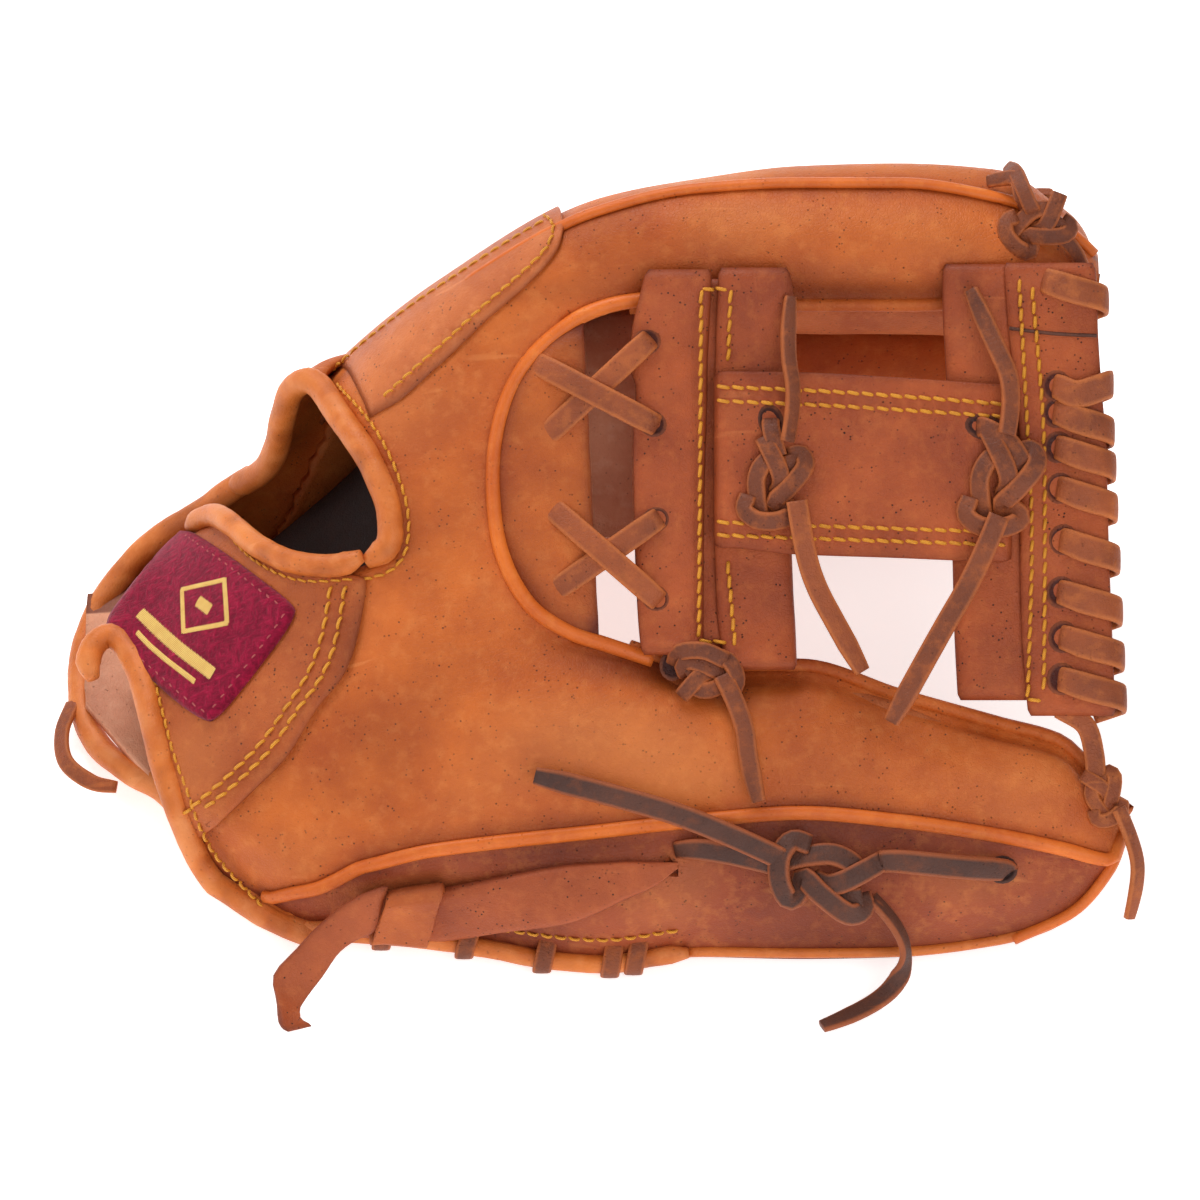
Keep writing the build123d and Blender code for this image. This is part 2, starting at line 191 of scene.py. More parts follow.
def bake(obj, *modifiers):
    """Apply modifiers, each given as (type, settings), to an object's mesh."""
    for kind, settings in modifiers:
        modifier = obj.modifiers.new(kind.title(), kind)
        for key, value in settings.items():
            setattr(modifier, key, value)
    graph = bpy.context.evaluated_depsgraph_get()
    graph.update()
    mesh = bpy.data.meshes.new_from_object(obj.evaluated_get(graph))
    obj.modifiers.clear()
    old = obj.data
    obj.data = mesh
    bpy.data.meshes.remove(old)
    for polygon in mesh.polygons:
        polygon.use_smooth = True
    return obj


def made(name, material, *parts):
    """One piece from one or more (points, faces, shade) meshes."""
    points, faces, shade, base = [], [], [], 0
    for p, f, s in parts:
        points.append(p)
        faces += [tuple(i + base for i in face) for face in f]
        shade.append(np.ones(len(p)) if s is None else s)
        base += len(p)
    return piece(name, np.concatenate(points), faces, material, np.concatenate(shade))


def swept(line, ups, profile, widths, heights):
    """A profile of (side, up) points carried along a line, its up side held to ups."""
    line = np.asarray(line, float)
    n, m = len(line), len(profile)
    t = tangents(line)
    ups = np.broadcast_to(np.asarray(ups, float), line.shape)
    rings = []
    for i in range(n):
        up = unit(ups[i] - t[i] * np.dot(ups[i], t[i]))
        side = np.cross(t[i], up)
        rings.append([line[i] + side * a * widths[i] + up * b * heights[i] for a, b in profile])
    faces = grid_faces(n, m, wrap=True) + [tuple(reversed(range(m))), tuple(range((n - 1) * m, n * m))]
    return np.array(rings).reshape(-1, 3), flipped(faces), np.ones(n * m)


def rounded(half_side, half_up, count=12, square=4.0):
    """A rounded rectangle as a profile."""
    profile = []
    for i in range(count):
        a = 2 * math.pi * (i + 0.5) / count
        c, s = math.cos(a), math.sin(a)
        profile.append((half_side * math.copysign(abs(c) ** (2 / square), c),
                        half_up * math.copysign(abs(s) ** (2 / square), s)))
    return profile


def tube(line, radius, ups=OUT, sides=10, squash=1.0, taper=0):
    """A round strand; taper points at each end shrink to half its size."""
    widths = np.ones(len(line))
    for k in range(taper):
        widths[k] = widths[-1 - k] = 0.55 + 0.45 * k / taper
    turns = [2 * math.pi * k / sides for k in range(sides)]
    profile = [(radius * math.cos(a), radius * squash * math.sin(a)) for a in turns]
    return swept(line, ups, profile, widths, widths)


def lace(line, ups, width, thick, ends=(1.0, 1.0)):
    """A flat leather lace with paler cut edges; ends gives the width left at each end."""
    line = evenly(line, 1.2)
    n = len(line)
    widths = np.ones(n)
    reach = min(n // 2, 7)
    for k in range(reach):
        part = (k + 1) / (reach + 1)
        widths[k] = min(widths[k], ends[0] + (1 - ends[0]) * part ** 0.6)
        widths[n - 1 - k] = min(widths[n - 1 - k], ends[1] + (1 - ends[1]) * part ** 0.6)
    profile = rounded(width / 2, thick / 2, 14, 3.6)
    points, faces, shade = swept(line, spread(ups, n), profile, widths, np.ones(n))
    edge = [0.5 if abs(a) > 0.8 * width / 2 else 0.0 for a, b in profile]
    return points, faces, shade + np.tile(edge, n)


STITCH_TURN = math.tan(math.radians(8))  # how far a stitch slants across its seam
STITCH_SINK = 0.12                       # how deep its middle lies in the leather


def stitches(line, ups, pitch, length, radius):
    """Thread stitches along a line: short fat strands that dip into the leather at both ends."""
    run = evenly(line, pitch / 6)
    t = tangents(run)
    ups = spread(ups, len(run))
    parts = []
    for i in range(3, len(run) - 2, 6):
        up = unit(ups[i])
        side = np.cross(t[i], up)
        strand = []
        for k in range(7):
            s = (k / 6 - 0.5) * length
            lift = radius * (1 - (2 * abs(s) / length) ** 4 * 1.9) - STITCH_SINK
            strand.append(run[i] + t[i] * s + side * s * STITCH_TURN + up * lift)
        parts.append(tube(np.array(strand), radius, up, 6))
    return parts


# ---------------------------------------------------------------- materials
class Nodes:
    """A short hand for building a node tree."""

    def __init__(self, name):
        self.material = bpy.data.materials.new(name)
        self.material.use_nodes = True
        self.tree = self.material.node_tree
        self.shader = self.tree.nodes["Principled BSDF"]
        self.place = self.tree.nodes.new("ShaderNodeTexCoord").outputs["Object"]

    def node(self, kind, inputs=(), **settings):
        made = self.tree.nodes.new("ShaderNode" + kind)
        for key, value in settings.items():
            setattr(made, key, value)
        for key, value in dict(inputs).items():
            if hasattr(value, "links"):
                self.tree.links.new(value, made.inputs[key])
            else:
                made.inputs[key].default_value = value
        return made

    def noise(self, scale, detail=3.0, rough=0.55, vector=None):
        inputs = {"Vector": vector or self.place, "Scale": scale, "Detail": detail, "Roughness": rough}
        return self.node("TexNoise", inputs).outputs["Fac"]

    def cells(self, scale, feature="F1"):
        inputs = {"Vector": self.place, "Scale": scale}
        return self.node("TexVoronoi", inputs, feature=feature).outputs["Distance"]

    def span(self, value, low, high, to_low=0.0, to_high=1.0):
        inputs = {"Value": value, "From Min": low, "From Max": high, "To Min": to_low, "To Max": to_high}
        return self.node("MapRange", inputs).outputs["Result"]

    def math(self, operation, a, b=0.0):
        return self.node("Math", {0: a, 1: b}, operation=operation).outputs[0]

    def mix(self, part, a, b, blend="MIX"):
        made = self.node("Mix", (), data_type="RGBA", blend_type=blend)
        for key, value in ((0, part), (6, a), (7, b)):
            if hasattr(value, "links"):
                self.tree.links.new(value, made.inputs[key])
            else:
                made.inputs[key].default_value = value
        return made.outputs[2]

    def link(self, value, socket):
        self.tree.links.new(value, self.shader.inputs[socket])

    def bump(self, height, distance, strength=1.0, normal=None):
        inputs = {"Height": height, "Distance": distance, "Strength": strength}
        if normal is not None:
            inputs["Normal"] = normal
        return self.node("Bump", inputs).outputs["Normal"]


def srgb(r, g, b):
    def linear(c):
        c /= 255
        return c / 12.92 if c <= 0.04045 else ((c + 0.055) / 1.055) ** 2.4
    return (linear(r), linear(g), linear(b), 1.0)


def leather(name, base, dark, light, rough=0.5, pores=1.0, mottle=1.0, grain=1.0, panel=None):
    """Oil-tanned leather: drifting tone, dark pores, pale scratches, a fine creased grain, and the painted
    shade and painted highlight that a piece's shade attribute carries.
    """
    n = Nodes(name)
    broad = n.noise(38.0, 4.0, 0.6)
    fine = n.noise(240.0, 5.0, 0.65)
    tone = n.mix(n.span(broad, 0.32, 0.68), srgb(*dark), srgb(*base))
    if panel:
        other = n.mix(n.span(broad, 0.32, 0.68), srgb(*panel[1]), srgb(*panel[0]))
        tone = n.mix(n.node("Attribute", (), attribute_name="panel").outputs["Fac"], tone, other)
    tone = n.mix(n.span(fine, 0.5, 0.85, 0.0, 0.45 * mottle), tone, srgb(*light))
    tone = n.mix(n.span(n.noise(95.0, 3.0), 0.56, 0.75, 0.0, 0.35 * mottle), tone, srgb(*dark))
    speck = n.math("MULTIPLY", n.span(n.cells(620.0), 0.2, 0.1),
                   n.span(n.noise(140.0, 2.0), 0.44, 0.6))
    tone = n.mix(n.math("MULTIPLY", speck, 0.8 * pores), tone, srgb(*[c * 0.3 for c in dark]))
    streak = n.node("Mapping", {"Vector": n.place, "Rotation": (0.4, 0.5, 0.9),
                                "Scale": (26.0, 330.0, 120.0)})
    scratch = n.span(n.noise(1.0, 2.0, 0.5, streak.outputs[0]), 0.7, 0.76)
    tone = n.mix(n.math("MULTIPLY", scratch, 0.3), tone, srgb(*light))
    # The shade attribute gives painted shade below 1, towards a deep brown, and lightens above 1: painted
    # highlight on some pieces, random mottling, and the laces' paler cut edges.
    shade = n.node("Attribute", (), attribute_name="shade").outputs["Fac"]
    deep = n.mix(1.0, tone, srgb(112, 58, 36), "MULTIPLY")
    tone = n.mix(n.span(shade, 0.0, 1.0), deep, tone)
    lightened = n.mix(0.55, tone, srgb(*light))
    tone = n.mix(n.span(shade, 1.0, 1.6), tone, lightened)
    n.link(tone, "Base Color")
    n.link(n.span(fine, 0.3, 0.75, rough - 0.09, rough + 0.12), "Roughness")
    n.shader.inputs["Specular IOR Level"].default_value = 0.3
    creased = n.span(n.cells(900.0, "DISTANCE_TO_EDGE"), 0.0, 0.16)
    normal = n.bump(creased, 0.00012 * grain, 0.55)
    normal = n.bump(n.noise(330.0, 6.0, 0.7), 0.0005 * grain, 0.4, normal)
    normal = n.bump(n.noise(70.0, 3.0, 0.5), 0.0016 * grain, 0.4, normal)
    normal = n.bump(n.math("MULTIPLY", speck, -1.0), 0.0003, 0.6, normal)
    n.link(normal, "Normal")
    return n.material


def thread(name, base, dark):
    """Twisted waxed thread."""
    n = Nodes(name)
    twist = {"Vector": n.place, "Scale": 900.0, "Distortion": 1.5}
    wave = n.node("TexWave", twist, bands_direction="DIAGONAL")
    tone = n.mix(n.span(wave.outputs["Fac"], 0.1, 0.7), srgb(*dark), srgb(*base))
    tone = n.mix(n.span(n.noise(300.0), 0.45, 0.7, 0.0, 0.5), tone, srgb(*dark))
    n.link(tone, "Base Color")
    n.shader.inputs["Roughness"].default_value = 0.55
    n.link(n.bump(wave.outputs["Fac"], 0.0002, 0.7), "Normal")
    return n.material


def felt(name, base, dark, light):
    """Matted wool felt: tangled short fibres with a soft sheen."""
    n = Nodes(name)
    fibres = []
    for turn, scale in (((0.3, 0.2, 0.6), (700.0, 260.0, 420.0)), ((0.9, 0.7, -0.8), (260.0, 800.0, 380.0))):
        stretched = n.node("Mapping", {"Vector": n.place, "Rotation": turn, "Scale": scale})
        fibres.append(n.noise(1.0, 4.0, 0.7, stretched.outputs[0]))
    fibre = n.math("MAXIMUM", *fibres)
    tone = n.mix(n.span(fibre, 0.45, 0.72), srgb(*dark), srgb(*base))
    tone = n.mix(n.span(fibre, 0.66, 0.85, 0.0, 0.7), tone, srgb(*light))
    tone = n.mix(n.span(n.noise(60.0), 0.35, 0.7, 0.0, 0.35), tone, srgb(*dark))
    n.link(tone, "Base Color")
    n.shader.inputs["Roughness"].default_value = 0.95
    n.shader.inputs["Specular IOR Level"].default_value = 0.15
    n.shader.inputs["Sheen Weight"].default_value = 0.12
    n.shader.inputs["Sheen Roughness"].default_value = 0.5
    n.link(n.bump(fibre, 0.0009, 0.8), "Normal")
    return n.material


BODY = leather("body_leather", (204, 104, 38), (172, 78, 28), (226, 140, 76), 0.52,
               panel=((164, 76, 38), (134, 56, 30)))
INDEX = leather("index_leather", (206, 114, 60), (172, 84, 42), (232, 152, 100), 0.5)
# The palm leather's own pale pink, raised further as painted light so that the palm seen in the web's pocket,
# which little light reaches, reads lit.
PALM_SIDE = leather("palm_leather", (238, 168, 132), (212, 138, 104), (250, 200, 170), 0.55, 0.5)
WEB = leather("web_leather", (182, 86, 40), (144, 62, 30), (206, 118, 64), 0.54, 1.3)
STRAP = leather("strap_leather", (190, 96, 42), (160, 74, 32), (214, 130, 70), 0.54, 1.2)
THUMB_STRAP = leather("thumb_strap_leather", (176, 86, 44), (146, 66, 34), (200, 114, 66), 0.56, 1.3)
ROLL = leather("binding_leather", (220, 122, 52), (186, 92, 36), (240, 160, 98), 0.46, 0.5, 0.8, 0.7)
WELT = leather("welt_leather", (226, 116, 40), (190, 86, 28), (244, 156, 78), 0.42, 0.3, 0.7, 0.5)
LACE = leather("lace_leather", (166, 84, 44), (122, 60, 34), (208, 118, 58), 0.55, 0.5, 1.3, 1.2)
KNOT_LACE = leather("knot_lace_leather", (136, 70, 40), (94, 48, 32), (202, 108, 50), 0.55, 0.5, 1.3, 1.2)
DARK_LACE = leather("dark_lace_leather", (98, 58, 44), (70, 42, 34), (196, 100, 48), 0.55, 0.4, 0.5, 1.2)
# The lining's near-black colour is painted shade for the inside of the wrist opening.
LINING = leather("lining_leather", (48, 27, 23), (32, 19, 17), (72, 44, 36), 0.7, 0.3)
THREAD = thread("gold_thread", (246, 172, 40), (196, 118, 28))
RED_THREAD = thread("red_thread", (196, 92, 84), (140, 36, 52))
PATCH = felt("patch_felt", (172, 20, 62), (112, 8, 38), (204, 48, 92))
WOOL = felt("padding_felt", (196, 184, 164), (160, 148, 128), (222, 212, 196))
GOLD = thread("patch_gold", (255, 222, 128), (226, 172, 84))

# ---------------------------------------------------------------- the glove's surface
# Lines that run the length of the glove, from the thumb's outer edge (0) round the face to
# the index finger's top (14) and over the back of the hand to the little finger's edge (22).
# Lines 2 and 13 carry the two pipings, and 6 and 10 are the edges of the web's gap.
# Each station along x gives (u, d) for every line.
STATIONS = {
    -142: [(62, 60), (63, 52), (65, 46), (68, 41.5), (72, 38.5), (77, 37.5), (83, 38.5), (88, 42),
           (88, 48), (88, 54), (87.5, 60), (87, 66), (86.5, 71), (86, 76), (86, 80), (88, 84),
           (91, 85), (94, 85), (93.5, 85.5), (93, 86), (92.5, 86.5), (92, 87), (91.5, 87.5)],
    -125: [(42, 38), (46, 29), (50, 24), (56, 22.5), (63, 23), (71, 26), (79, 31), (87, 37),
           (94, 44), (100, 50), (102.5, 57), (102.5, 64), (102, 71), (101.5, 78), (101.5, 83), (102, 87),
           (102, 89.5), (101, 91), (101, 92), (99, 93), (96.5, 93.5), (94, 93), (91, 92)],
    -100: [(19, 24), (27, 16), (37, 9), (48, 8), (60, 9), (72, 11.5), (83, 15.5), (93, 20),
           (102, 25.5), (110, 31), (117, 37), (122, 43), (126, 50), (128.5, 59), (129, 66), (126, 75),
           (123, 81), (119, 86), (114, 90), (109, 93), (103, 95), (98, 94.5), (93, 92)],
    -75: [(7, 18), (16, 10), (24, 6), (44, 1), (60, 0), (74, 1), (86, 3), (98, 5.5),
          (110, 8), (121, 11.5), (132, 15), (141, 19), (148, 23.5), (154, 33), (157, 44), (156, 56),
          (152, 66), (146, 75), (138, 83), (129, 90), (118, 95.5), (107, 97.5), (97, 96)],
    -45: [(4, 16), (16, 5), (30, -4.5), (50, -7), (66, -7), (78, -5.5), (88, -4), (105, -1.5),
          (122, 0.5), (140, 2), (153, 3.5), (163, 6), (170, 9), (177, 16), (181, 26), (181, 40),
          (177, 54), (170, 67), (160, 79), (147, 91), (133, 99.5), (119, 103), (104, 101)],
    0: [(-2.7, 13), (13, -2.5), (35, -5.5), (49.4, -8.5), (63.3, -8.5), (76.2, -6), (86.5, -1.5), (105, -1),
        (131, 0), (157, -1), (175.7, 0), (186, -2), (195, -1), (202, 4), (206, 14), (206, 28),
        (203, 43), (197, 58), (188, 74), (175, 90), (157, 103.5), (138, 111), (112, 108)],
    27: [(0.5, 12.5), (16, -2.5), (38, -6.5), (49.7, -9), (60.9, -9), (71.4, -6), (79.7, 1), (105, 0),
         (131, 0), (157, 0), (177, 2), (186, -4), (198, -4), (208, 3), (211.5, 14), (211, 28),
         (208, 44), (202, 60), (193, 76), (180, 92), (162, 106), (142, 114), (114, 112)],
    54: [(0, 12), (17, -2.5), (40, -6.5), (51.1, -9), (61.8, -9), (71.8, -6), (79.7, 1.5), (105, 0),
         (131, 0), (157, 0), (177, 2), (186, -4.5), (198, -4.5), (209.5, 3), (214.8, 14), (214, 28),
         (210, 44), (204, 60), (195, 76), (182, 92), (164, 106), (144, 114), (114, 112)],
    81: [(0.5, 12), (16, -2), (37.8, -6), (47.3, -8.5), (56.4, -8.5), (64.8, -5.5), (71.6, 2), (100, 0),
         (131, 0), (157, 0), (177, 2), (186, -4.5), (198, -4), (209.5, 4), (215.5, 14), (214.5, 28),
         (210, 44), (204, 60), (195, 76), (182, 92), (164, 106), (144, 114), (114, 112)],
    108: [(4, 11), (17, -1), (33.8, -4), (42.3, -6.5), (50.4, -6.5), (58, -4), (64, 3), (95, 1),
          (131, 1), (157, 1), (178, 3), (187, -3), (197, -2), (205.5, 5), (213.5, 15), (213, 27),
          (209, 44), (203, 60), (194, 76), (181, 92), (163, 106), (143, 114), (114, 112)],
    124: [(9.5, 9), (19, 1), (30.5, -1.5), (38.6, -4), (46.5, -4), (53.7, -2), (59.5, 3.5), (90, 2),
          (131, 2), (157, 2), (179, 4), (186, 0), (192.5, 1), (198.6, 7), (204, 16), (203.5, 26),
          (200, 43), (195, 60), (187, 76), (175, 92), (158, 105), (140, 112), (114, 110)],
    138: [(24, 7), (26, 3.5), (27.5, 1.5), (32, 0), (37, 0), (42, 1.5), (46, 5), (80, 4),
          (131, 4), (157, 4), (180.5, 7), (182, 5.5), (184, 6.5), (186, 10), (187, 15), (186, 20),
          (185, 42), (180, 59), (172, 75), (160, 90), (146, 100), (130, 106), (112, 105)],
    143: [(40, 6), (40.5, 5.6), (41, 5.4), (41.5, 5.2), (42, 5.2), (42.5, 5.4), (43, 6), (80, 6),
          (131, 6), (157, 6), (178, 12), (178.5, 11.5), (179, 12), (179.5, 13), (180, 14), (179, 15),
          (178, 40), (174, 58), (166, 74), (155, 88), (142, 98), (128, 104), (112, 104)],
}
FACE_LINES = 15
# Soft folds in the face: ends (x, u), half width and depth. Negative depth is a ridge.
CREASES = [
    ((-6, 84), (34, 72), 5.0, 1.6), ((10, 88), (44, 66), 7.0, 1.0), ((-62, 118), (-40, 96), 9.0, 0.8),
    ((-30, 60), (20, 52), 12.0, -0.8), ((-70, 70), (-52, 52), 7.0, 0.7), ((66, 66), (110, 56), 5.0, 0.7),
    ((20, 190), (60, 184), 5.0, 0.8), ((84, 184), (112, 186), 4.0, 0.8), ((-46, 176), (-30, 158), 6.0, 0.8),
    ((-92, 30), (-60, 36), 8.0, -0.7), ((96, 46), (132, 40), 5.0, 0.5),
]


def folds(x, u):
    """How far the soft folds push the face in at a place."""
    total = 0.0
    for (x0, u0), (x1, u1), wide, deep in CREASES:
        along = ((x - x0) * (x1 - x0) + (u - u0) * (u1 - u0)) / ((x1 - x0) ** 2 + (u1 - u0) ** 2)
        along = min(1.0, max(0.0, along))
        gap = math.hypot(x - x0 - along * (x1 - x0), u - u0 - along * (u1 - u0))
        total += deep * math.exp(-(gap / wide) ** 2) * (0.35 + 0.65 * math.sin(math.pi * along))
    return total


def section(x):
    """The (u, d) of every line at any x."""
    stations = sorted(STATIONS)
    rows = [[value for pair in STATIONS[s] for value in pair] for s in stations]
    return eased(stations, rows, x).reshape(-1, 2)


SECTIONS = {}


def surface(x, v, out=0.0):
    """A point of the glove's surface at x on line v, lifted out of it by out."""
    key = round(x, 3)
    if key not in SECTIONS:
        SECTIONS[key] = section(x)
    rows = SECTIONS[key]
    i = int(min(max(v, 0), len(rows) - 1.001))
    (u, d), slope = between(rows, i, v - i)
    size = math.hypot(*slope) + 1e-9
    if v < FACE_LINES:
        d += folds(x, u)
        d += 0.7 * noise.noise(Vector((x, u, 40.0)) / 24) + 0.3 * noise.noise(Vector((x, u, 9.0)) / 9)
    # The normal that points out of the glove, square to the line round it.
    return np.array((x, d - out * slope[0] / size, u + out * slope[1] / size))


def outward(x, v):
    here, over = surface(x, v), surface(x, v, 1.0)
    return unit(over - here)


def along_surface(places, out):
    """A line through (x, v) places of the surface, lifted by out, and its outward directions."""
    return np.array([surface(x, v, out) for x, v in places]), np.array([outward(x, v) for x, v in places])


def line_of(x, u):
    """The line v that passes the face at (x, u)."""
    low, high = 0.0, float(FACE_LINES - 0.5)
    for _ in range(16):
        middle = (low + high) / 2
        if surface(x, middle)[2] < u:
            low = middle
        else:
            high = middle
    return (low + high) / 2


def on_face(x, u, out=0.0):
    """The face's point at (x, u), lifted out along the face's true normal."""
    v = line_of(x, u)
    here = surface(x, v)
    if not out:
        return here
    along = surface(x + 1.5, line_of(x + 1.5, u)) - surface(x - 1.5, line_of(x - 1.5, u))
    up = surface(x, v + 0.1) - surface(x, v - 0.1)
    return here + unit(np.cross(along, up)) * out


def face_line(points, out=0.0, step=1.5):
    """A smooth line drawn on the face through (x, u) points, and its outward normals."""
    flat = spline([(x, 0.0, u) for x, u in points], step)
    line = np.array([on_face(x, u, out) for x, _, u in flat])
    lifted = np.array([on_face(x, u, out + 1.0) for x, _, u in flat])
    return line, lifted - line


# ---------------------------------------------------------------- joining pieces to bodies
FOLD_UP = unit(np.cross(np.subtract(FOLD_TIP, FOLD_HEEL), (0, 1, 0)))
FOLD_UP *= math.copysign(1.0, FOLD_UP[2])


def across_fold(obj):
    """Leather that runs from the finger half over the fold to the thumb half."""
    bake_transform(obj)


def place(obj, body, slot, *nodes):
    """Put a finished piece on its body, or across the fold, for the CAD nodes it stands for.
    What would reach under the floor is pressed flat on it."""
    for vertex in obj.data.vertices:
        vertex.co.z = max(vertex.co.z, FLOOR_GAP)
    if body == "fold":
        across_fold(obj)
    else:
        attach(obj, body)
    if nodes:
        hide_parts(*nodes)
    return obj


def thickened(obj, thick, offset=-1.0):
    """A sheet given its thickness in mm: behind its face, or both ways with an offset of 0."""
    return bake(obj, ("SOLIDIFY", {"thickness": thick / 1000, "offset": offset}))


def sheet_piece(name, xs, vs, material, keep=None, out=0.0, thick=SKIN, point=None, shade=None, panel=None):
    """A leather sheet over part of the glove's surface, or of the one that point gives.
    keep, shade and panel say for each place and line if it is there, how dark, and on which panel."""
    faces = grid_faces(len(xs), len(vs)) if point else flipped(grid_faces(len(xs), len(vs)))
    point = point or surface
    points = np.array([point(x, v, out) for x in xs for v in vs])
    if keep is not None:
        kept = [keep(p, vs[i % len(vs)]) for i, p in enumerate(points)]
        faces = [f for f in faces if all(kept[i] for i in f)]
    used = sorted({i for f in faces for i in f})
    index = {old: new for new, old in enumerate(used)}
    faces = [tuple(index[i] for i in f) for f in faces]

    def over_points(value):
        return None if value is None else [value(points[i], vs[i % len(vs)]) for i in used]
    return thickened(piece(name, points[used], faces, material, over_points(shade), over_points(panel)),
                     thick)


def near(value, middle, width):
    return math.exp(-((value - middle) / width) ** 2)


def spaced(low, high, step):
    return np.linspace(low, high, max(2, int(round((high - low) / step)) + 1))


# ---------------------------------------------------------------- the body of the glove
# The wrist edge of the thumb side, the wrist opening, and the arc round the web's base, as (x, u).
HEEL_EDGE = [(-72, 2.5), (-81, 5), (-90, 9), (-98, 15.5), (-106, 25), (-111.5, 36.5), (-116.5, 49),
             (-119.7, 60), (-122.2, 70), (-125.5, 78.5), (-129, 84), (-133.5, 86.5)]
OPENING = [(-84, 157.5), (-81, 156.5), (-74.5, 151.5), (-67, 143), (-60.5, 131.5), (-56.5, 120), (-57.5, 111),
           (-63, 107.3)]
CROTCH_ARC = [(20, 179.5), (10, 178.5), (1, 176.5), (-8, 172), (-19.5, 161.5), (-26.5, 147), (-28.8, 130),
              (-26.8, 111), (-19.5, 96.5), (-9, 89), (2, 85), (14, 81)]


def edge_x(u):
    """The x where the body's leather stops on the wrist side, at any height."""
    heel = sorted((b, a) for a, b in HEEL_EDGE)
    if u < 90:
        return float(np.interp(u, [p[0] for p in heel], [p[1] for p in heel]))
    opening = sorted((b, a) for a, b in OPENING[1:])
    return float(np.interp(u, [88, 104] + [p[0] for p in opening], [-118, -82] + [p[1] for p in opening]))


BACK_EDGE = {14: -80, 15: -73, 16: -73, 17: -77, 18: -83, 19: -91, 20: -99, 21: -104, 22: -106}
KNUCKLE_LINE, KNUCKLE_X = 15.6, 9.0      # past these the back of the fingers is their stalls
TIP_X = 135.5


def body_kept(p, v):
    """Whether the body's one skin covers a place: not in the web's gap or past its edges."""
    x, d, u = p
    if v > KNUCKLE_LINE and x > KNUCKLE_X or v > 9.9 and x > TIP_X:
        return False
    if v > FACE_LINES - 0.4:
        return x > float(np.interp(v, list(BACK_EDGE), list(BACK_EDGE.values())))
    if 6.0 < v < 10.0 and x > -9.5 + 4 * (176 - u) / 90:
        return False
    return x > edge_x(u)


def thumb_seam(x):
    """The line that the thumb's piping follows at x."""
    return 2.0 - 1.5 * max(0.0, min(1.0, (-64 - x) / 26)) ** 1.6


# Tone of the body's leather: random mottling, with painted shade along the pipings, in the folds, along the
# thumb's outer edge, beside the wrist's edge, at the web's base and along the index finger's lower edge, and
# painted highlight on the ridges and along the index finger's top.
def body_shade(p, v):
    x, d, u = p
    tone = 1.0 + 0.5 * noise.noise(Vector((x, u, 2.0)) / 45)
    tone -= 0.55 * (near(v, thumb_seam(x), 0.28) + near(v, 13.0, 0.3)) if x > -92 else 0
    tone -= 0.5 * near(u, 80, 9) * near(x, 10, 30)
    tone -= 0.35 * near(v, 0.0, 0.7)
    tone -= 0.35 * near(x, edge_x(u) + 3, 5) if v < 14 else 0
    tone -= 0.45 * near(u, 180, 4) * near(x, 60, 90)
    tone += 0.35 * near(v, 13.8, 0.8) + 0.25 * near(v, 12.0, 0.8) * near(x, 60, 50)
    tone -= 1.6 * folds(x, u) * 0.12
    return max(0.05, tone)


def thumb_panel(p, v):
    """1 on the darker panel outside the thumb's seam."""
    return float(v < thumb_seam(p[0]))


def make_body():
    lines = np.concatenate([spaced(0, 2, 0.2), spaced(2, 2.9, 0.18)[1:], spaced(3, 13, 0.2),
                            spaced(13, 22, 0.22)[1:]])
    xs = np.concatenate([spaced(-142, 120, 2.2), spaced(121, 143, 1.0)])
    skin = sheet_piece("body_skin", xs, lines, BODY, body_kept, shade=body_shade, panel=thumb_panel)
    place(skin, "fold", "glove_leather", "back_shell", "thumb_back", "little_back")

    arc, ups = face_line(CROTCH_ARC, 0.9)
    roll = made("crotch_welt", WELT, tube(arc, 2.1, ups, 12))
    place(roll, "fold", "piping", "crotch_piping")

    places = [(x, thumb_seam(x)) for x in spaced(-91, 141, 2.0)]
    line, ups = along_surface(places, 0.9)
    place(made("thumb_welt", WELT, tube(line, 2.0, ups, 10, 0.8)), "fold", "piping", "thumb_piping")
    tip = [surface(*p) for p in ((142, 3, 1.0), (140.5, 1.4, 1.2), (137, 0.6, 1.2), (128, 0.2, 1.0),
                                 (112, 0.1, 1.0))]
    place(made("thumb_tip_welt", WELT, tube(spline(tip, 1.5), 1.6, OUT, 8)), "thumb", "piping")

    line, ups = along_surface([(KNUCKLE_X, v) for v in spaced(15.5, 22, 0.2)], -0.2)
    place(made("knuckle_roll", WELT, tube(line, 2.2, ups, 10)), "fold", "piping")

    for name, v, end, body in (("thumb_gap_roll", 6.0, 139, "thumb"),
                               ("index_gap_roll", 10.0, 132, "fingers")):
        line, ups = along_surface([(x, v) for x in spaced(8, end, 2.5)], -0.5)
        place(made(name, BODY, tube(line, 1.9, OUT, 10)), body, "glove_leather")
    line, ups = along_surface([(x, 13.0) for x in spaced(-36, 134, 2.0)], 0.9)
    place(made("index_welt", WELT, tube(line, 1.7, ups, 10, 0.8)), "fingers", "piping", "index_piping")


make_body()

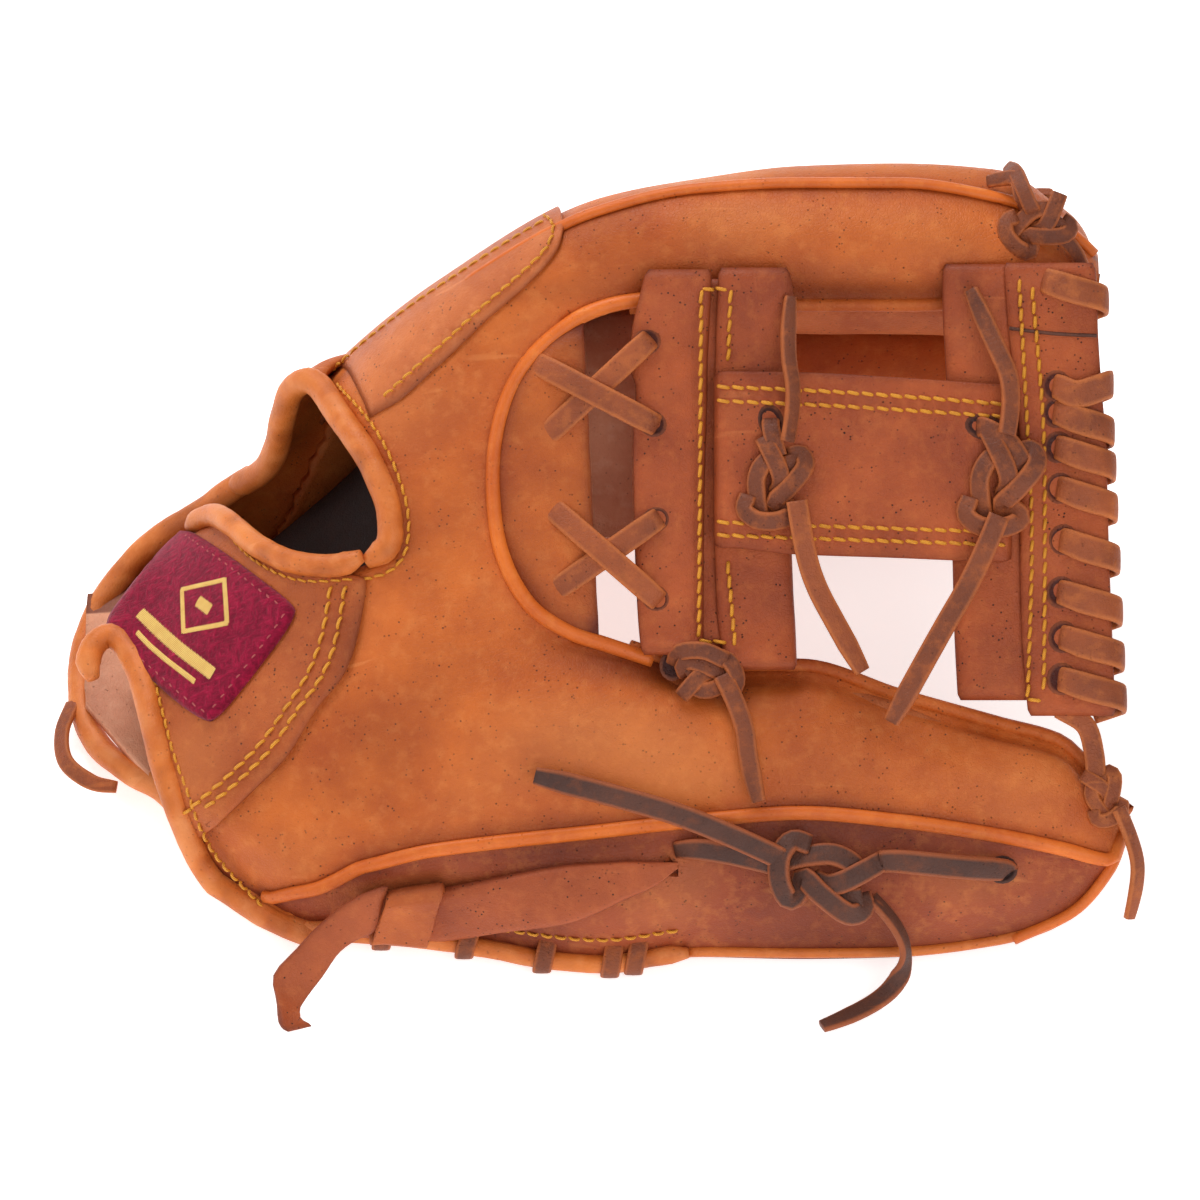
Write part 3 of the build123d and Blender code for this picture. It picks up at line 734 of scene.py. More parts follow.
# ---------------------------------------------------------------- palm, lining and the stalls
# Stations of the palm side: (d, u) from the thumb's outer edge to the little finger's.
PALM = {
    -141: [(62, 67), (65, 70), (68, 74), (71, 77), (76, 84), (79, 88),
           (82, 91), (84, 94), (86, 97), (87, 99), (88, 101)],
    -120: [(42, 43), (50, 52), (56, 60), (62, 67), (70, 79), (75, 87),
           (79, 92), (83, 96), (86, 97), (89, 96), (90, 93)],
    -100: [(30, 21), (42, 38), (51, 51), (57, 63), (65, 79), (70, 89),
           (75, 96), (80, 99), (85, 98), (88, 96), (92, 92)],
    -75: [(22, 9), (38, 30), (45, 50), (50, 66), (56, 88), (61, 102),
          (68, 113), (75, 116), (82, 111), (89, 103), (96, 96)],
    -45: [(19, 5), (30, 30), (31, 55), (33, 78), (38, 108), (44, 130),
          (52, 144), (62, 145), (74, 136), (88, 117), (101, 103)],
    -13: [(16, 1), (27, 28), (26, 58), (26, 84), (28, 120), (30, 150),
          (37, 168), (52, 168), (70, 152), (90, 127), (107, 110)],
    14: [(14, 1), (20, 28), (22, 58), (24, 84), (27, 122), (31, 154),
         (38, 172), (52, 171), (70, 156), (90, 130), (108, 111)],
}


def palm(x, v, out=0.0):
    """A point of the palm's surface: line 0 is the thumb's outer edge, line 10 the little finger's."""
    stations = sorted(PALM)
    rows = eased(stations, [[c for pair in PALM[s] for c in pair] for s in stations], x).reshape(-1, 2)
    i = int(min(max(v, 0), len(rows) - 1.001))
    (d, u), slope = between(rows, i, v - i)
    size = math.hypot(*slope) + 1e-9
    d += 0.8 * noise.noise(Vector((x, u, 70.0)) / 30)
    return np.array((x, d + out * slope[1] / size, u - out * slope[0] / size))


# The fingers' stalls: the (d, u) of the gaps between them at x, their half thickness and tips.
ROW = {
    -12: [(1, 185), (36, 190), (66, 177), (89, 149), (101, 115)],
    30: [(3, 194), (39, 195), (71, 180), (93, 150), (103, 114)],
    80: [(3, 196), (39, 196), (71, 180), (93, 150), (103, 115)],
    106: [(5, 194), (39, 194), (69, 178), (90, 149), (102, 115)],
}
HALF_THICK = {-12: 15.0, 30: 17.0, 80: 18.0, 106: 16.5}
TIPS = {"index": 134.5, "middle": 136.0, "ring": 135.5, "little": 131.0}
# The thumb's stall: x, then its middle (d, u), half width and half thickness.
THUMB = [(-12, 8, 43, 42, 14.0), (30, 8, 41, 38.5, 15.0), (62, 8, 40, 38.0, 15.5), (90, 8, 37, 32.5, 15.0),
         (114, 8, 35, 26.0, 12.5), (131, 8, 35, 16.5, 9.0), (140, 8, 36, 7.5, 5.0)]
THUMB_TURN = math.radians(11)


def finger_ring(number, tip, x):
    """Middle (d, u), half width, half thickness and turn of a finger's stall at x."""
    keys = sorted(ROW)
    inner = min(x, keys[-1])
    gaps = eased(keys, [[c for g in ROW[k][number:number + 2] for c in g] for k in keys], inner)
    thick = float(eased(keys, [[HALF_THICK[k]] for k in keys], inner)[0])
    d0, u0, d1, u1 = gaps
    half = math.hypot(d1 - d0, u1 - u0) / 2 - 0.8
    shrink = 1.0
    if x > 96:
        part = min(1.0, (x - 96) / (tip - 96))
        shrink = math.sqrt(max(0.0, 1 - part ** 3.2))
    return (d0 + d1) / 2, (u0 + u1) / 2 - 4 * (1 - shrink), half * shrink, thick * shrink, \
        math.atan2(u1 - u0, d1 - d0)


def capped(name, points, sides, material, shade):
    """A hollow leather stall from its rings of points, closed at the last one."""
    n = len(points) // sides
    faces = grid_faces(n, sides, wrap=True) + [tuple(range((n - 1) * sides, n * sides))]
    return thickened(piece(name, points, faces, material, shade), SKIN)


def make_stall(name, number, material, slim):
    """One finger's stall, with a soft swell between the seams and a rounded tip."""
    tip = TIPS[name] - 0.6
    start = -12 if number == 0 else -6
    round_end = tip - (tip - 100) * (1 - np.sin(np.linspace(0.06, 1.45, 20)))
    xs = np.concatenate([spaced(start, 100, 3.0), round_end])
    sides = 40
    points, shade = [], []
    for x in xs:
        d, u, half, thick, turn = finger_ring(number, tip, x)
        c, s = math.cos(turn), math.sin(turn)
        for k in range(sides):
            a = 2 * math.pi * k / sides
            p, q = math.cos(a), math.sin(a)
            wide = max(0.02, half - slim) * math.copysign(abs(p) ** 0.82, p)
            deep = max(0.02, thick - slim) * math.copysign(abs(q) ** 0.82, q)
            wide *= 1 + 0.17 * deep / (thick + 0.1)
            wave = 0.5 * noise.noise(Vector((x / 16, number * 9 + p * 1.4, q * 1.4)))
            points.append((x, d + wide * c - deep * s + wave, u + wide * s + deep * c + wave))
            # Painted shade along the stall's two sides, where it meets its neighbours, with a little random
            # tone from the wave.
            shade.append(1.0 - 0.55 * abs(p) ** 6 + 0.25 * wave)
    obj = capped(name + "_stall_leather", points, sides, material, np.clip(shade, 0.1, 1.5))
    return place(obj, "fingers", "glove_leather", name + "_stall")


def make_thumb_stall():
    xs = np.concatenate([spaced(-12, 120, 3.0), spaced(121, 139, 1.5)])
    keys = [t[0] for t in THUMB]
    sides = 48
    points, shade = [], []
    c, s = math.cos(THUMB_TURN), math.sin(THUMB_TURN)
    for x in xs:
        d, u, wide, deep = eased(keys, [t[1:] for t in THUMB], x)
        for k in range(sides):
            a = 2 * math.pi * k / sides
            p, q = math.cos(a), math.sin(a)
            along = (wide - 2.2) * math.copysign(abs(q) ** 0.85, q)
            out = (deep - 1.6) * math.copysign(abs(p) ** 0.85, p)
            points.append((x, d + 2.0 + out * c - along * s, u + out * s + along * c))
            # Painted shade along the thumb stall's two edges.
            shade.append(1.0 - 0.4 * abs(q) ** 6)
    obj = capped("thumb_stall_leather", points, sides, INDEX, shade)
    return place(obj, "thumb", "palm_leather", "thumb_stall", "thumb_palm")


def palm_shade(p, v):
    """Mottled, with painted shade towards the wrist's end and deep painted shade in the fold behind the wrist
    strap.
    """
    x, d, u = p
    tone = max(0.3, 1.0 + 0.4 * noise.noise(Vector((x, u, 5.0)) / 40) - 0.3 * near(x, -141, 8))
    return tone * (0.2 if v > 6 and x < -122 else 1.0)


def palm_kept(p, v):
    """Whether the palm covers a place: not the web's gap or outside the wrist's far rim."""
    if v > 8 and p[0] < -134:
        return False
    return p[0] < -8 or p[2] < 74 or p[2] > 112


def make_palm():
    obj = sheet_piece("palm_skin", spaced(-141, 14, 2.5), spaced(0, 10, 0.2), PALM_SIDE, palm_kept, -1.0,
                      point=palm, shade=palm_shade)
    place(obj, "fold", "palm_leather", "palm_shell")


def make_lining():
    """The lining that shows inside the wrist opening, near black as painted shade for the inside of the
    opening.
    """
    obj = sheet_piece("palm_lining_leather", spaced(-116, -14, 3.5), spaced(1.2, 9.6, 0.25), LINING,
                      out=-8.5, thick=1.4, point=palm)
    place(obj, "fold", "lining_leather", "palm_lining")


make_palm()
make_lining()
for row, (finger, skin, slim) in enumerate((("index", INDEX, 1.4), ("middle", INDEX, 0.0),
                                            ("ring", BODY, 0.0),
                                            ("little", INDEX, 0.0))):
    make_stall(finger, row, skin, slim)
make_thumb_stall()



def make_felt_pads():
    """The three felt pads between the shell and the lining, with their corners worn round."""
    for node, body in (("heel_pad", "fingers"), ("palm_pad", "fingers"), ("thumb_felt", "thumb")):
        felt_pad = bpy.data.objects.new(node + "_felt", frame["nodes"][node].data.copy())
        bpy.context.scene.collection.objects.link(felt_pad)
        bake(felt_pad, ("REMESH", {"mode": "VOXEL", "voxel_size": 0.0025}),
             ("SMOOTH", {"factor": 0.6, "iterations": 14}))
        felt_pad.data.materials.clear()
        felt_pad.data.materials.append(WOOL)
        place(felt_pad, body, "padding_felt", node)


make_felt_pads()


# ---------------------------------------------------------------- laid-on pieces
def laid(name, rows, material, lift, thick, edge=0.35, steps=(40, 24), round_ends=True, shade=None):
    """A sheet laid on the glove between rows of ((x, v) one side, (x, v) other side)."""
    table = [[*a, *b] for a, b in rows]
    keys = list(range(len(rows)))
    points, tone = [], []
    m, n = steps
    facing = 0.0
    for i in range(m):
        t = i / (m - 1) * (len(rows) - 1)
        x0, v0, x1, v1 = eased(keys, table, t)
        if i:
            across, along = points[-n + 1] - points[-n], surface(x0, v0) - points[-n]
            facing += np.dot(np.cross(across, along), outward(x0, v0))
        for j in range(n):
            s = j / (n - 1)
            x, v = x0 + (x1 - x0) * s, v0 + (v1 - v0) * s
            rim = min(s, 1 - s) * 2
            if round_ends:
                rim = min(rim, min(i, m - 1 - i) / (m - 1) * 6)
            rise = lift * (edge + (1 - edge) * min(1.0, rim * 3.5) ** 0.5)
            points.append(surface(x, v, rise))
            # Unless shade is given, the tone is painted shade along the sheet's rim.
            tone.append(1.0 - 0.5 * math.exp(-(rim / 0.07) ** 2) if shade is None
                        else shade(points[-1], s, t))
    faces = grid_faces(m, n)
    if facing < 0:
        faces = flipped(faces)
    return thickened(piece(name, points, faces, material, tone), thick)


def face_rows(*pairs):
    """Rows for laid() from (x, u) pairs on the face."""
    return [((a[0], line_of(*a)), (b[0], line_of(*b))) for a, b in pairs]


# Stitches: their pitch, length and radius.
WEB_STITCH = (3.9, 3.0, 0.5)
STRAP_STITCH = (4.2, 3.1, 0.48)
EDGE_STITCH = (3.4, 2.6, 0.42)
FINE_STITCH = (3.4, 2.5, 0.34)
PATCH_STITCH = (3.4, 2.4, 0.34)
PAD_STITCH = (3.6, 2.7, 0.4)
THUMB_STITCH = (3.8, 2.8, 0.42)


def sewn(name, body, lines, stitch, material=THREAD):
    """Rows of stitches, as one piece; lines are (points, ups)."""
    parts = [strand for line, ups in lines for strand in stitches(line, ups, *stitch)]
    return place(made(name, material, *parts), body, "piping")


def bumpy(line, ups, radius, sides=16, rough=0.07, taper=3):
    """A rolled leather edge, a little uneven along its length."""
    line = evenly(line, 1.6)
    points, faces, shade = tube(line, radius, spread(ups, len(line)), sides, taper=taper)
    centre = np.repeat(line, sides, axis=0)
    wave = np.array([noise.noise(Vector(p) / 9) + 0.5 * noise.noise(Vector(p) / 3.5) for p in points])
    points = centre + (points - centre) * (1 + rough * wave)[:, None]
    tone = 1 + 0.5 * wave
    return points, faces, np.clip(shade * tone, 0.2, 1.6)


CROTCH = (0.0, 130.5, 27.0, 43.5)        # the web-base panel's middle (x, u), half width and half height


def make_crotch():
    """The separate panel inside the arc at the base of the web, from the arc to a straight edge."""
    x0, u0, half_x, half_u = CROTCH
    points, tone = [], []
    rows, columns = 60, 22
    for turn in np.linspace(0.17, math.pi - 0.06, rows):
        u = u0 + half_u * 1.02 * math.cos(turn)
        edge = -4.3 + 4.0 * (u0 + half_u - u) / (2 * half_u)
        arc = x0 - half_x * 1.07 * math.sin(turn)
        for s in np.linspace(0, 1, columns):
            x = arc + (edge - arc) * s
            reach = math.hypot((x - x0) / (half_x * 1.05), (u - u0) / half_u)
            rise = 3.5 - 2.6 * max(0, reach - 0.88) / 0.14 - 0.7 * near(s, 1.0, 0.03)
            points.append(on_face(x, u, rise))
            # Painted shade round the panel's arched rim and along its straight edge, over random tone.
            tone.append(0.86 - 0.5 * near(reach, 1.0, 0.12) + 0.25 * noise.noise(Vector((x, u, 1)) / 14)
                        - 0.35 * near(x, edge, 2.5))
    obj = piece("crotch_leather", points, flipped(grid_faces(rows, columns)), BODY, np.clip(tone, 0.1, 1.4))
    place(thickened(obj, 2.8), "fold", "web_leather", "crotch_panel")


def make_finger_pad():
    """The padded leather patch over the index knuckle, round at its far end."""
    low = [(-62.5, 146.5), (-54, 151.4), (-43.2, 160.8), (-32, 171.5), (-21, 181), (-14.5, 187.5),
           (-10.8, 193), (-9.6, 197.5)]
    high = [(-78, 16.5), (-68, 16.6), (-52, 16.6), (-40, 16.6), (-28, 16.6), (-20, 16.4), (-14.5, 16.0),
            (-12, 15.5)]
    rows = [((x, line_of(x, u)), other) for (x, u), other in zip(low, high)]
    obj = laid("index_pad_leather", rows, INDEX, 2.3, 2.6, 0.3, (60, 36))
    place(obj, "fingers", "glove_leather", "index_pad")
    seam = face_line([(-57.5, 151.5), (-43, 165), (-31, 176), (-20, 185.2), (-14.4, 190.6), (-12, 194.6),
                      (-11.8, 197.6), (-14, 200)], 2.4)
    top = along_surface([(x, 13.5) for x in spaced(-15, -74, -2)], 2.4)
    sewn("index_pad_stitching", "fingers", [seam, top], PAD_STITCH)


STRAP_OUT = 2.5                          # how far the strap's face stands out of the glove


# Painted shade along the strap's one long edge, over random mottling.
def strap_shade(p, s, t):
    return max(0.2, 1.0 - 0.35 * near(s, 1.0, 0.05) + 0.35 * noise.noise(Vector(p) / 26))


def make_strap():
    rows = face_rows(((-110, 33), (-105, 36.5)), ((-115.5, 46), (-94.6, 45)), ((-119.5, 56), (-83.8, 56)),
                     ((-122, 66), (-77, 67)), ((-125, 76), (-68.6, 78)), ((-131, 86), (-65, 90)),
                     ((-134, 91), (-63.3, 102)), ((-130, 96.5), (-72, 104.5)), ((-122.5, 103.5), (-83, 107)),
                     ((-115, 110), (-93, 111)), ((-110, 114.5), (-100.5, 116.5)))
    obj = laid("wrist_strap_leather", rows, STRAP, STRAP_OUT, 1.9, 0.55, (90, 44), shade=strap_shade)
    place(obj, "fold", "strap_leather", "wrist_strap")
    behind = [((-127, 8.6), (-109, 11.4)), ((-126, 10), (-108, 13)), ((-125, 12), (-107, 14.5)),
              ((-124, 14), (-106, 16.5)), ((-123, 16), (-106, 18.5)), ((-122, 19), (-107, 20)),
              ((-122, 22), (-108, 22))]
    obj = laid("strap_back_leather", behind, STRAP, 0.3, 1.9, 0.8, (50, 16), False)
    place(obj, "fingers", "strap_leather")
    top = [(-110, 116), (-104, 119), (-98.6, 116.8), (-91.4, 111.2), (-83.8, 107.6), (-76, 106.2),
           (-69, 106.5), (-63.5, 109)]
    line, ups = face_line(top, 2.6)
    place(made("strap_top_roll", ROLL, bumpy(line, ups, 3.2)), "fingers", "binding_leather",
          "strap_top_binding")
    arcs = []
    for shift in (4.2, 8.2):
        arc = [(-63.8 - shift, 101), (-65.6 - shift, 90), (-69.2 - shift, 78.5),
               (-77 - shift, 68 - shift / 4),
               (-84.5 - shift, 56.5), (-95 - shift, 46.5), (-103 - shift, 40.5)]
        arcs.append(face_line(arc, STRAP_OUT + 0.1))
    sewn("strap_stitching", "fold", arcs, STRAP_STITCH)
    beside = face_line([(-66, 102.6), (-76, 102.0), (-84, 103.2), (-92, 107), (-98, 112.4)], STRAP_OUT)
    sewn("strap_top_stitching", "fingers", [beside], FINE_STITCH)


PATCH_CORNERS = ((-112.5, 116.5), (-79.0, 94.2), (-104.0, 62.0), (-136.5, 87.0))


def patch_place(a, b):
    """(x, u) on the felt patch; a runs from its top left to top right, b down, both -1 to 1."""
    soft = 1 - 0.085 * (a * b) ** 4
    a, b = a * soft, b * soft
    corners = [np.array(c, float) for c in PATCH_CORNERS]
    top = corners[0] * (1 - a) / 2 + corners[1] * (1 + a) / 2
    low = corners[3] * (1 - a) / 2 + corners[2] * (1 + a) / 2
    return top * (1 - b) / 2 + low * (1 + b) / 2


def patch_point(a, b, out=0.0):
    x, u = patch_place(a, b)
    return on_face(x, u, STRAP_OUT + 1.4 + out)


def satin(a0, b0, a1, b1, wide):
    """Embroidery: gold threads laid side by side across a line on the patch."""
    start, end = patch_point(a0, b0), patch_point(a1, b1)
    count = int(np.linalg.norm(end - start) / 0.55)
    parts = []
    for k in range(count + 1):
        t = k / max(count, 1)
        a, b = a0 + (a1 - a0) * t, b0 + (b1 - b0) * t
        here = patch_point(a, b, 0.15)
        along = unit(patch_point(a + (a1 - a0) * 0.02, b + (b1 - b0) * 0.02, 0.15) - here)
        up = unit(patch_point(a, b, 1.2) - here)
        side = np.cross(along, up)
        half = wide / 2 * (1 + 0.05 * math.sin(k * 2.4))
        strand = [here + side * half * s + up * 0.45 * (1 - s * s) + along * 0.3 * s
                  for s in (-1, -0.5, 0, 0.5, 1)]
        parts.append(tube(np.array(strand), 0.36, up, 5))
    return parts


def make_patch():
    """The felt patch, its stitched border, and a plain badge of a diamond over two bars."""
    across = np.linspace(-1, 1, 34)
    points, tone = [], []
    for a, b in [(a, b) for a in across for b in across]:
        rim = 1 - max(abs(a), abs(b))
        points.append(patch_point(a, b, -1.5 * math.exp(-(rim / 0.05) ** 2)))
        # Painted shade along the patch's rim; the felt material does not read it.
        tone.append(1.0 - 0.35 * math.exp(-(rim / 0.1) ** 2))
    faces = flipped(grid_faces(len(across), len(across)))
    obj = thickened(piece("felt_patch", points, faces, PATCH, tone), 1.2, 0.0)
    place(obj, "fold", "patch_felt", "patch")
    border = []
    side = 0.9 * np.linspace(-1, 1, 17)
    for places in ([(a, -0.9) for a in side], [(0.9, b) for b in side], [(-a, 0.9) for a in side]):
        run = np.array([patch_point(a, b, 0.05) for a, b in places])
        border.append((run, np.array([patch_point(a, b, 1.05) for a, b in places]) - run))
    sewn("patch_stitching", "fold", border, PATCH_STITCH, RED_THREAD)
    badge = satin(-0.62, 0.42, 0.62, 0.42, 4.6) + satin(-0.5, 0.66, 0.5, 0.66, 1.7)
    diamond = [(0.0, -0.72), (0.36, -0.26), (0.0, 0.2), (-0.36, -0.26)]
    for k in range(4):
        badge += satin(*diamond[k], *diamond[(k + 1) % 4], 1.7)
    badge += satin(-0.09, -0.26, 0.09, -0.26, 4.0)
    place(made("patch_badge", GOLD, *badge), "fold", "patch_felt")


FAR_RIM = [(-110, 77.5, 121.5), (-120, 83, 115.5), (-129, 85, 107.5), (-137, 83.5, 96.5)]


def make_rolls():
    """The rolled bindings: the wrist opening, the thumb side's heel edge and the far rim."""
    line, ups = face_line(OPENING[2:], 0.8)
    far = np.array([(-101, 71, 128.5), (-95.5, 64, 130.5), (-91, 58, 134), (-88.2, 51, 140),
                    (-86.5, 43, 147.5), (-83.8, 35, 154.5), (-79.8, 29, 157), (-76, 26.5, 155)], float)
    run = spline(np.vstack((far, line[4:-3:6], line[-1:])), 1.6)
    run_ups = np.vstack(([unit((-0.8, -0.5, 0.3))] * len(far), ups[4:-3:6], ups[-1:]))
    place(made("opening_roll", ROLL, bumpy(run, run_ups, 3.6)), "fingers", "binding_leather",
          "opening_binding")
    make_back_wall([*far[::-1], *FAR_RIM])
    beside = [(-71.5, 156), (-62.5, 146), (-56, 134.5), (-52, 121.5), (-52.6, 110.5), (-57, 105),
              (-64, 102.8)]
    sewn("opening_stitching", "fingers", [face_line(beside, 0.15)], EDGE_STITCH)

    edge = HEEL_EDGE + [(-137.4, 84.4), (-138.8, 80), (-137.2, 75.6)]
    line, ups = face_line(edge, 1.8)
    place(made("heel_edge_roll", ROLL, bumpy(line, ups, 3.5)), "fold", "binding_leather", "strap_binding",
          "thumb_binding")
    beside = [(-124.0, 85), (-120.5, 76), (-117.5, 66), (-115, 57), (-110.5, 45), (-104, 30.5), (-93.5, 18.5),
              (-82, 8)]
    sewn("heel_edge_stitching", "fold", [face_line(beside, 2.0)], EDGE_STITCH)

    rim = [(-92, 66, 133), (-100, 71, 128.5), *FAR_RIM, (-141.8, 79, 84.5), (-142.7, 71.5, 74),
           (-141, 64, 64),
           (-136.5, 57, 56.5), (-128, 49, 50), (-118, 42, 44.5), (-108, 34, 34), (-99, 26, 22),
           (-88, 20.5, 12), (-80, 18, 8)]
    roll = bumpy(spline(rim, 1.6), unit((-1.0, -0.6, 0.0)), 3.5)
    place(made("heel_rim_roll", ROLL, roll), "fold", "binding_leather", "heel_binding", "thumb_heel_binding")


def make_back_wall(rim):
    """The leather from the opening's far rim down to the back of the hand."""
    feet = [(-68, 13.8), (-68, 14.3), (-68, 14.9), (-68, 15.6), (-70, 16.4), (-74, 17.3), (-80, 18.2),
            (-87, 19), (-95, 20), (-100, 21), (-101, 22), (-104, 22)]
    rims = spline(rim, 2.0)
    where, keys = np.linspace(0, 1, len(rims)), np.linspace(0, 1, len(feet))
    feet = np.array([np.interp(where, keys, [foot[k] for foot in feet]) for k in (0, 1)]).T
    points, tone = [], []
    for rim, (x, v) in zip(rims, feet):
        foot = surface(x, v, 0.4)
        for s in np.linspace(0, 1, 14):
            points.append(rim + (foot - rim) * s + unit((-0.5, 1, 0.4)) * 3.0 * math.sin(math.pi * s))
            # Painted shade along the top, next to the far rim's binding.
            tone.append(0.95 - 0.35 * math.exp(-(s / 0.12) ** 2))
    obj = thickened(piece("back_wall_leather", points, grid_faces(len(rims), 14), BODY, tone), 1.8, 0.0)
    place(obj, "fingers", "glove_leather")


make_crotch()
make_finger_pad()
make_strap()
make_patch()
make_rolls()


# ---------------------------------------------------------------- the web
def pad(rows, thick, square=3.4, sides=30, step=3.0, ends=2.2):
    """A padded leather plate. rows are (left point, right point, thickness) down its length."""
    table = [[*a, *b, h] for a, b, h in rows]
    length = [0.0]
    for p, q in zip(table, table[1:]):
        moved = np.subtract(p[:3], q[:3]) + np.subtract(p[3:6], q[3:6])
        length.append(length[-1] + np.linalg.norm(moved) / 2)
    count = max(6, int(length[-1] / step))
    where = [length[-1] * (0.5 - 0.5 * math.cos(math.pi * k / count)) * 0.5 + length[-1] * k / count * 0.5
             for k in range(count + 1)]
    points, tone = [], []
    for place_along in where:
        row = eased(length, table, place_along)
        left, right, h = row[:3], row[3:6], row[6]
        gap = min(place_along, length[-1] - place_along)
        close = math.sqrt(max(0.0, 1 - (1 - min(1.0, gap / ends)) ** 2)) * 0.9 + 0.1
        middle, half = (left + right) / 2, (right - left) / 2
        side = unit(half)
        up = unit(OUT - side * np.dot(OUT, side))
        width = np.linalg.norm(half) - (1 - close) * ends * 0.4
        for k in range(sides):
            a = 2 * math.pi * k / sides
            c, s = math.cos(a), math.sin(a)
            across = width * math.copysign(abs(c) ** (2 / square), c)
            rise = h * thick / 2 * close * math.copysign(abs(s) ** (2 / square), s)
            p = middle + side * across + up * rise
            wave = 0.35 * noise.noise(Vector(p) / 13)
            points.append(p + up * wave)
            # Painted shade on the plate's rounded sides and at its ends, over random tone from the wave.
            tone.append(1.0 + 0.6 * wave - 0.42 * abs(c) ** 5 - 0.35 * (1 - min(1.0, gap / 2.5)))
    n = len(where)
    ends = [tuple(reversed(range(sides))), tuple(range((n - 1) * sides, n * sides))]
    return np.array(points), grid_faces(n, sides, wrap=True) + ends, np.clip(tone, 0.15, 1.4)


# Depths of the web's pieces at their middles, and their thicknesses.
BAR_D, BAR_THICK = -4.2, 5.4
BAR_TOP_D = -8.2                         # where the bars lie on the index finger
BRIDGE_D, BRIDGE_THICK = -9.2, 3.6
SLEEVE_D, SLEEVE_THICK = -3.4, 6.0
TIP_D, TIP_THICK = -6.4, 4.2


def ramp(value, start, length):
    """How far value is past start, as a part of length, never under 0."""
    return max(0, (value - start) / length)


def bar_lift(u):
    """How far a web bar bends out over the index finger above and over the thumb below."""
    return (BAR_TOP_D - BAR_D) * min(1.0, ramp(u, 170, 10)) - 3.6 * min(1.0, ramp(-u, -90, 9))


def flat_rows(edges, depth):
    """Rows of a plate for pad(), from (u, left x, right x), with its depth worked out from u."""
    return [((left, depth(u), u), (right, depth(u), u), 1.0) for u, left, right in edges]


def web_sewn(name, body, rows):
    sewn(name, body, [(spline(row, 1.5), OUT) for row in rows], WEB_STITCH)


def make_web_base():
    """The two bars at the base of the web, the strip that joins them, and their stitching."""
    left = [(186.5, 12.4, 30.2), (179, 10.6, 30.0), (168, 8.4, 29.4), (157.5, 8.2, 29.0), (154.5, 9.8, 29.0),
            (146, 8.8, 28.8), (125, 9.0, 28.2), (100, 9.8, 28.0), (90, 10.4, 28.0), (82.5, 11.2, 28.2)]
    right = [(187, 32.0, 51.0), (179, 31.6, 52.2), (160, 31.0, 51.4), (130, 30.6, 51.4), (100, 31.2, 52.2),
             (90, 31.8, 52.8), (78.5, 34.5, 53.2)]
    under = [(184, 24, 38), (150, 23, 37), (110, 22, 37), (84, 23, 38)]
    bars = [pad(flat_rows(edges, lambda u: BAR_D + bar_lift(u)), BAR_THICK) for edges in (left, right)]
    strip = pad(flat_rows(under, lambda u: BAR_D + 2.4 - 3.0 * ramp(u, 172, 12) - 2.4 * ramp(-u, -92, 9)),
                2.4)
    place(made("web_base_leather", WEB, *bars, strip), "fold", "web_leather", "web_base_bar")

    def face(x, u, back=0.0):
        return (x, BAR_D - BAR_THICK / 2 + 0.05 + bar_lift(u) + back, u)
    web_sewn("web_base_stitching", "fold", [
        [face(27.3 - 0.6 * (181 - u) / 94, u) for u in spaced(181, 86.5, 4)],
        [face(35.2 - 0.6 * (181 - u) / 20, u) for u in spaced(181, 161, 4)],
        [face(34.3 + 2.4 * (109 - u) / 27, u) for u in spaced(108, 83, 4)],
        [face(27.3, 181, 0.4), face(31.2, 181.2, 1.6), face(35.2, 181, 0.4)],
        [face(26.7, 86.3, 0.08), face(31, 86, 1.4), face(36, 86, 0.2)]])


def make_web_bridge():
    """The plate between the bars, with two rows of stitches along each edge."""
    bridge = [(30.8, 158.8, 30.8, 111.4, 1.2), (34, 159, 34, 111.4, 0), (52, 158.8, 52, 109.6, 0),
              (80, 157.4, 80, 108.6, 0), (100, 156.0, 100, 107.8, 0), (111, 155.2, 112, 107.6, 1.0)]
    rows = [((x0, BRIDGE_D + back, low), (x1, BRIDGE_D + back, top), 1.0)
            for x0, top, x1, low, back in bridge]
    obj = made("web_bridge_leather", WEB, pad(rows, BRIDGE_THICK, 6.0, 44))
    obj.data.flip_normals()
    place(obj, "fingers", "web_leather", "web_bridge")
    d = BRIDGE_D - BRIDGE_THICK / 2 - 0.05
    rows = (((31.4, 154.8), (60, 153.6), (90, 151.6), (109.6, 150)),
            ((31.4, 151.0), (60, 149.8), (90, 148), (110, 146.6)),
            ((31.4, 118.3), (60, 117.2), (90, 116.2), (112, 115.6)),
            ((31.4, 114.8), (60, 113.8), (90, 112.8), (112, 112.2)))
    web_sewn("web_bridge_stitching", "fingers", [[(x, d, u) for x, u in row] for row in rows])


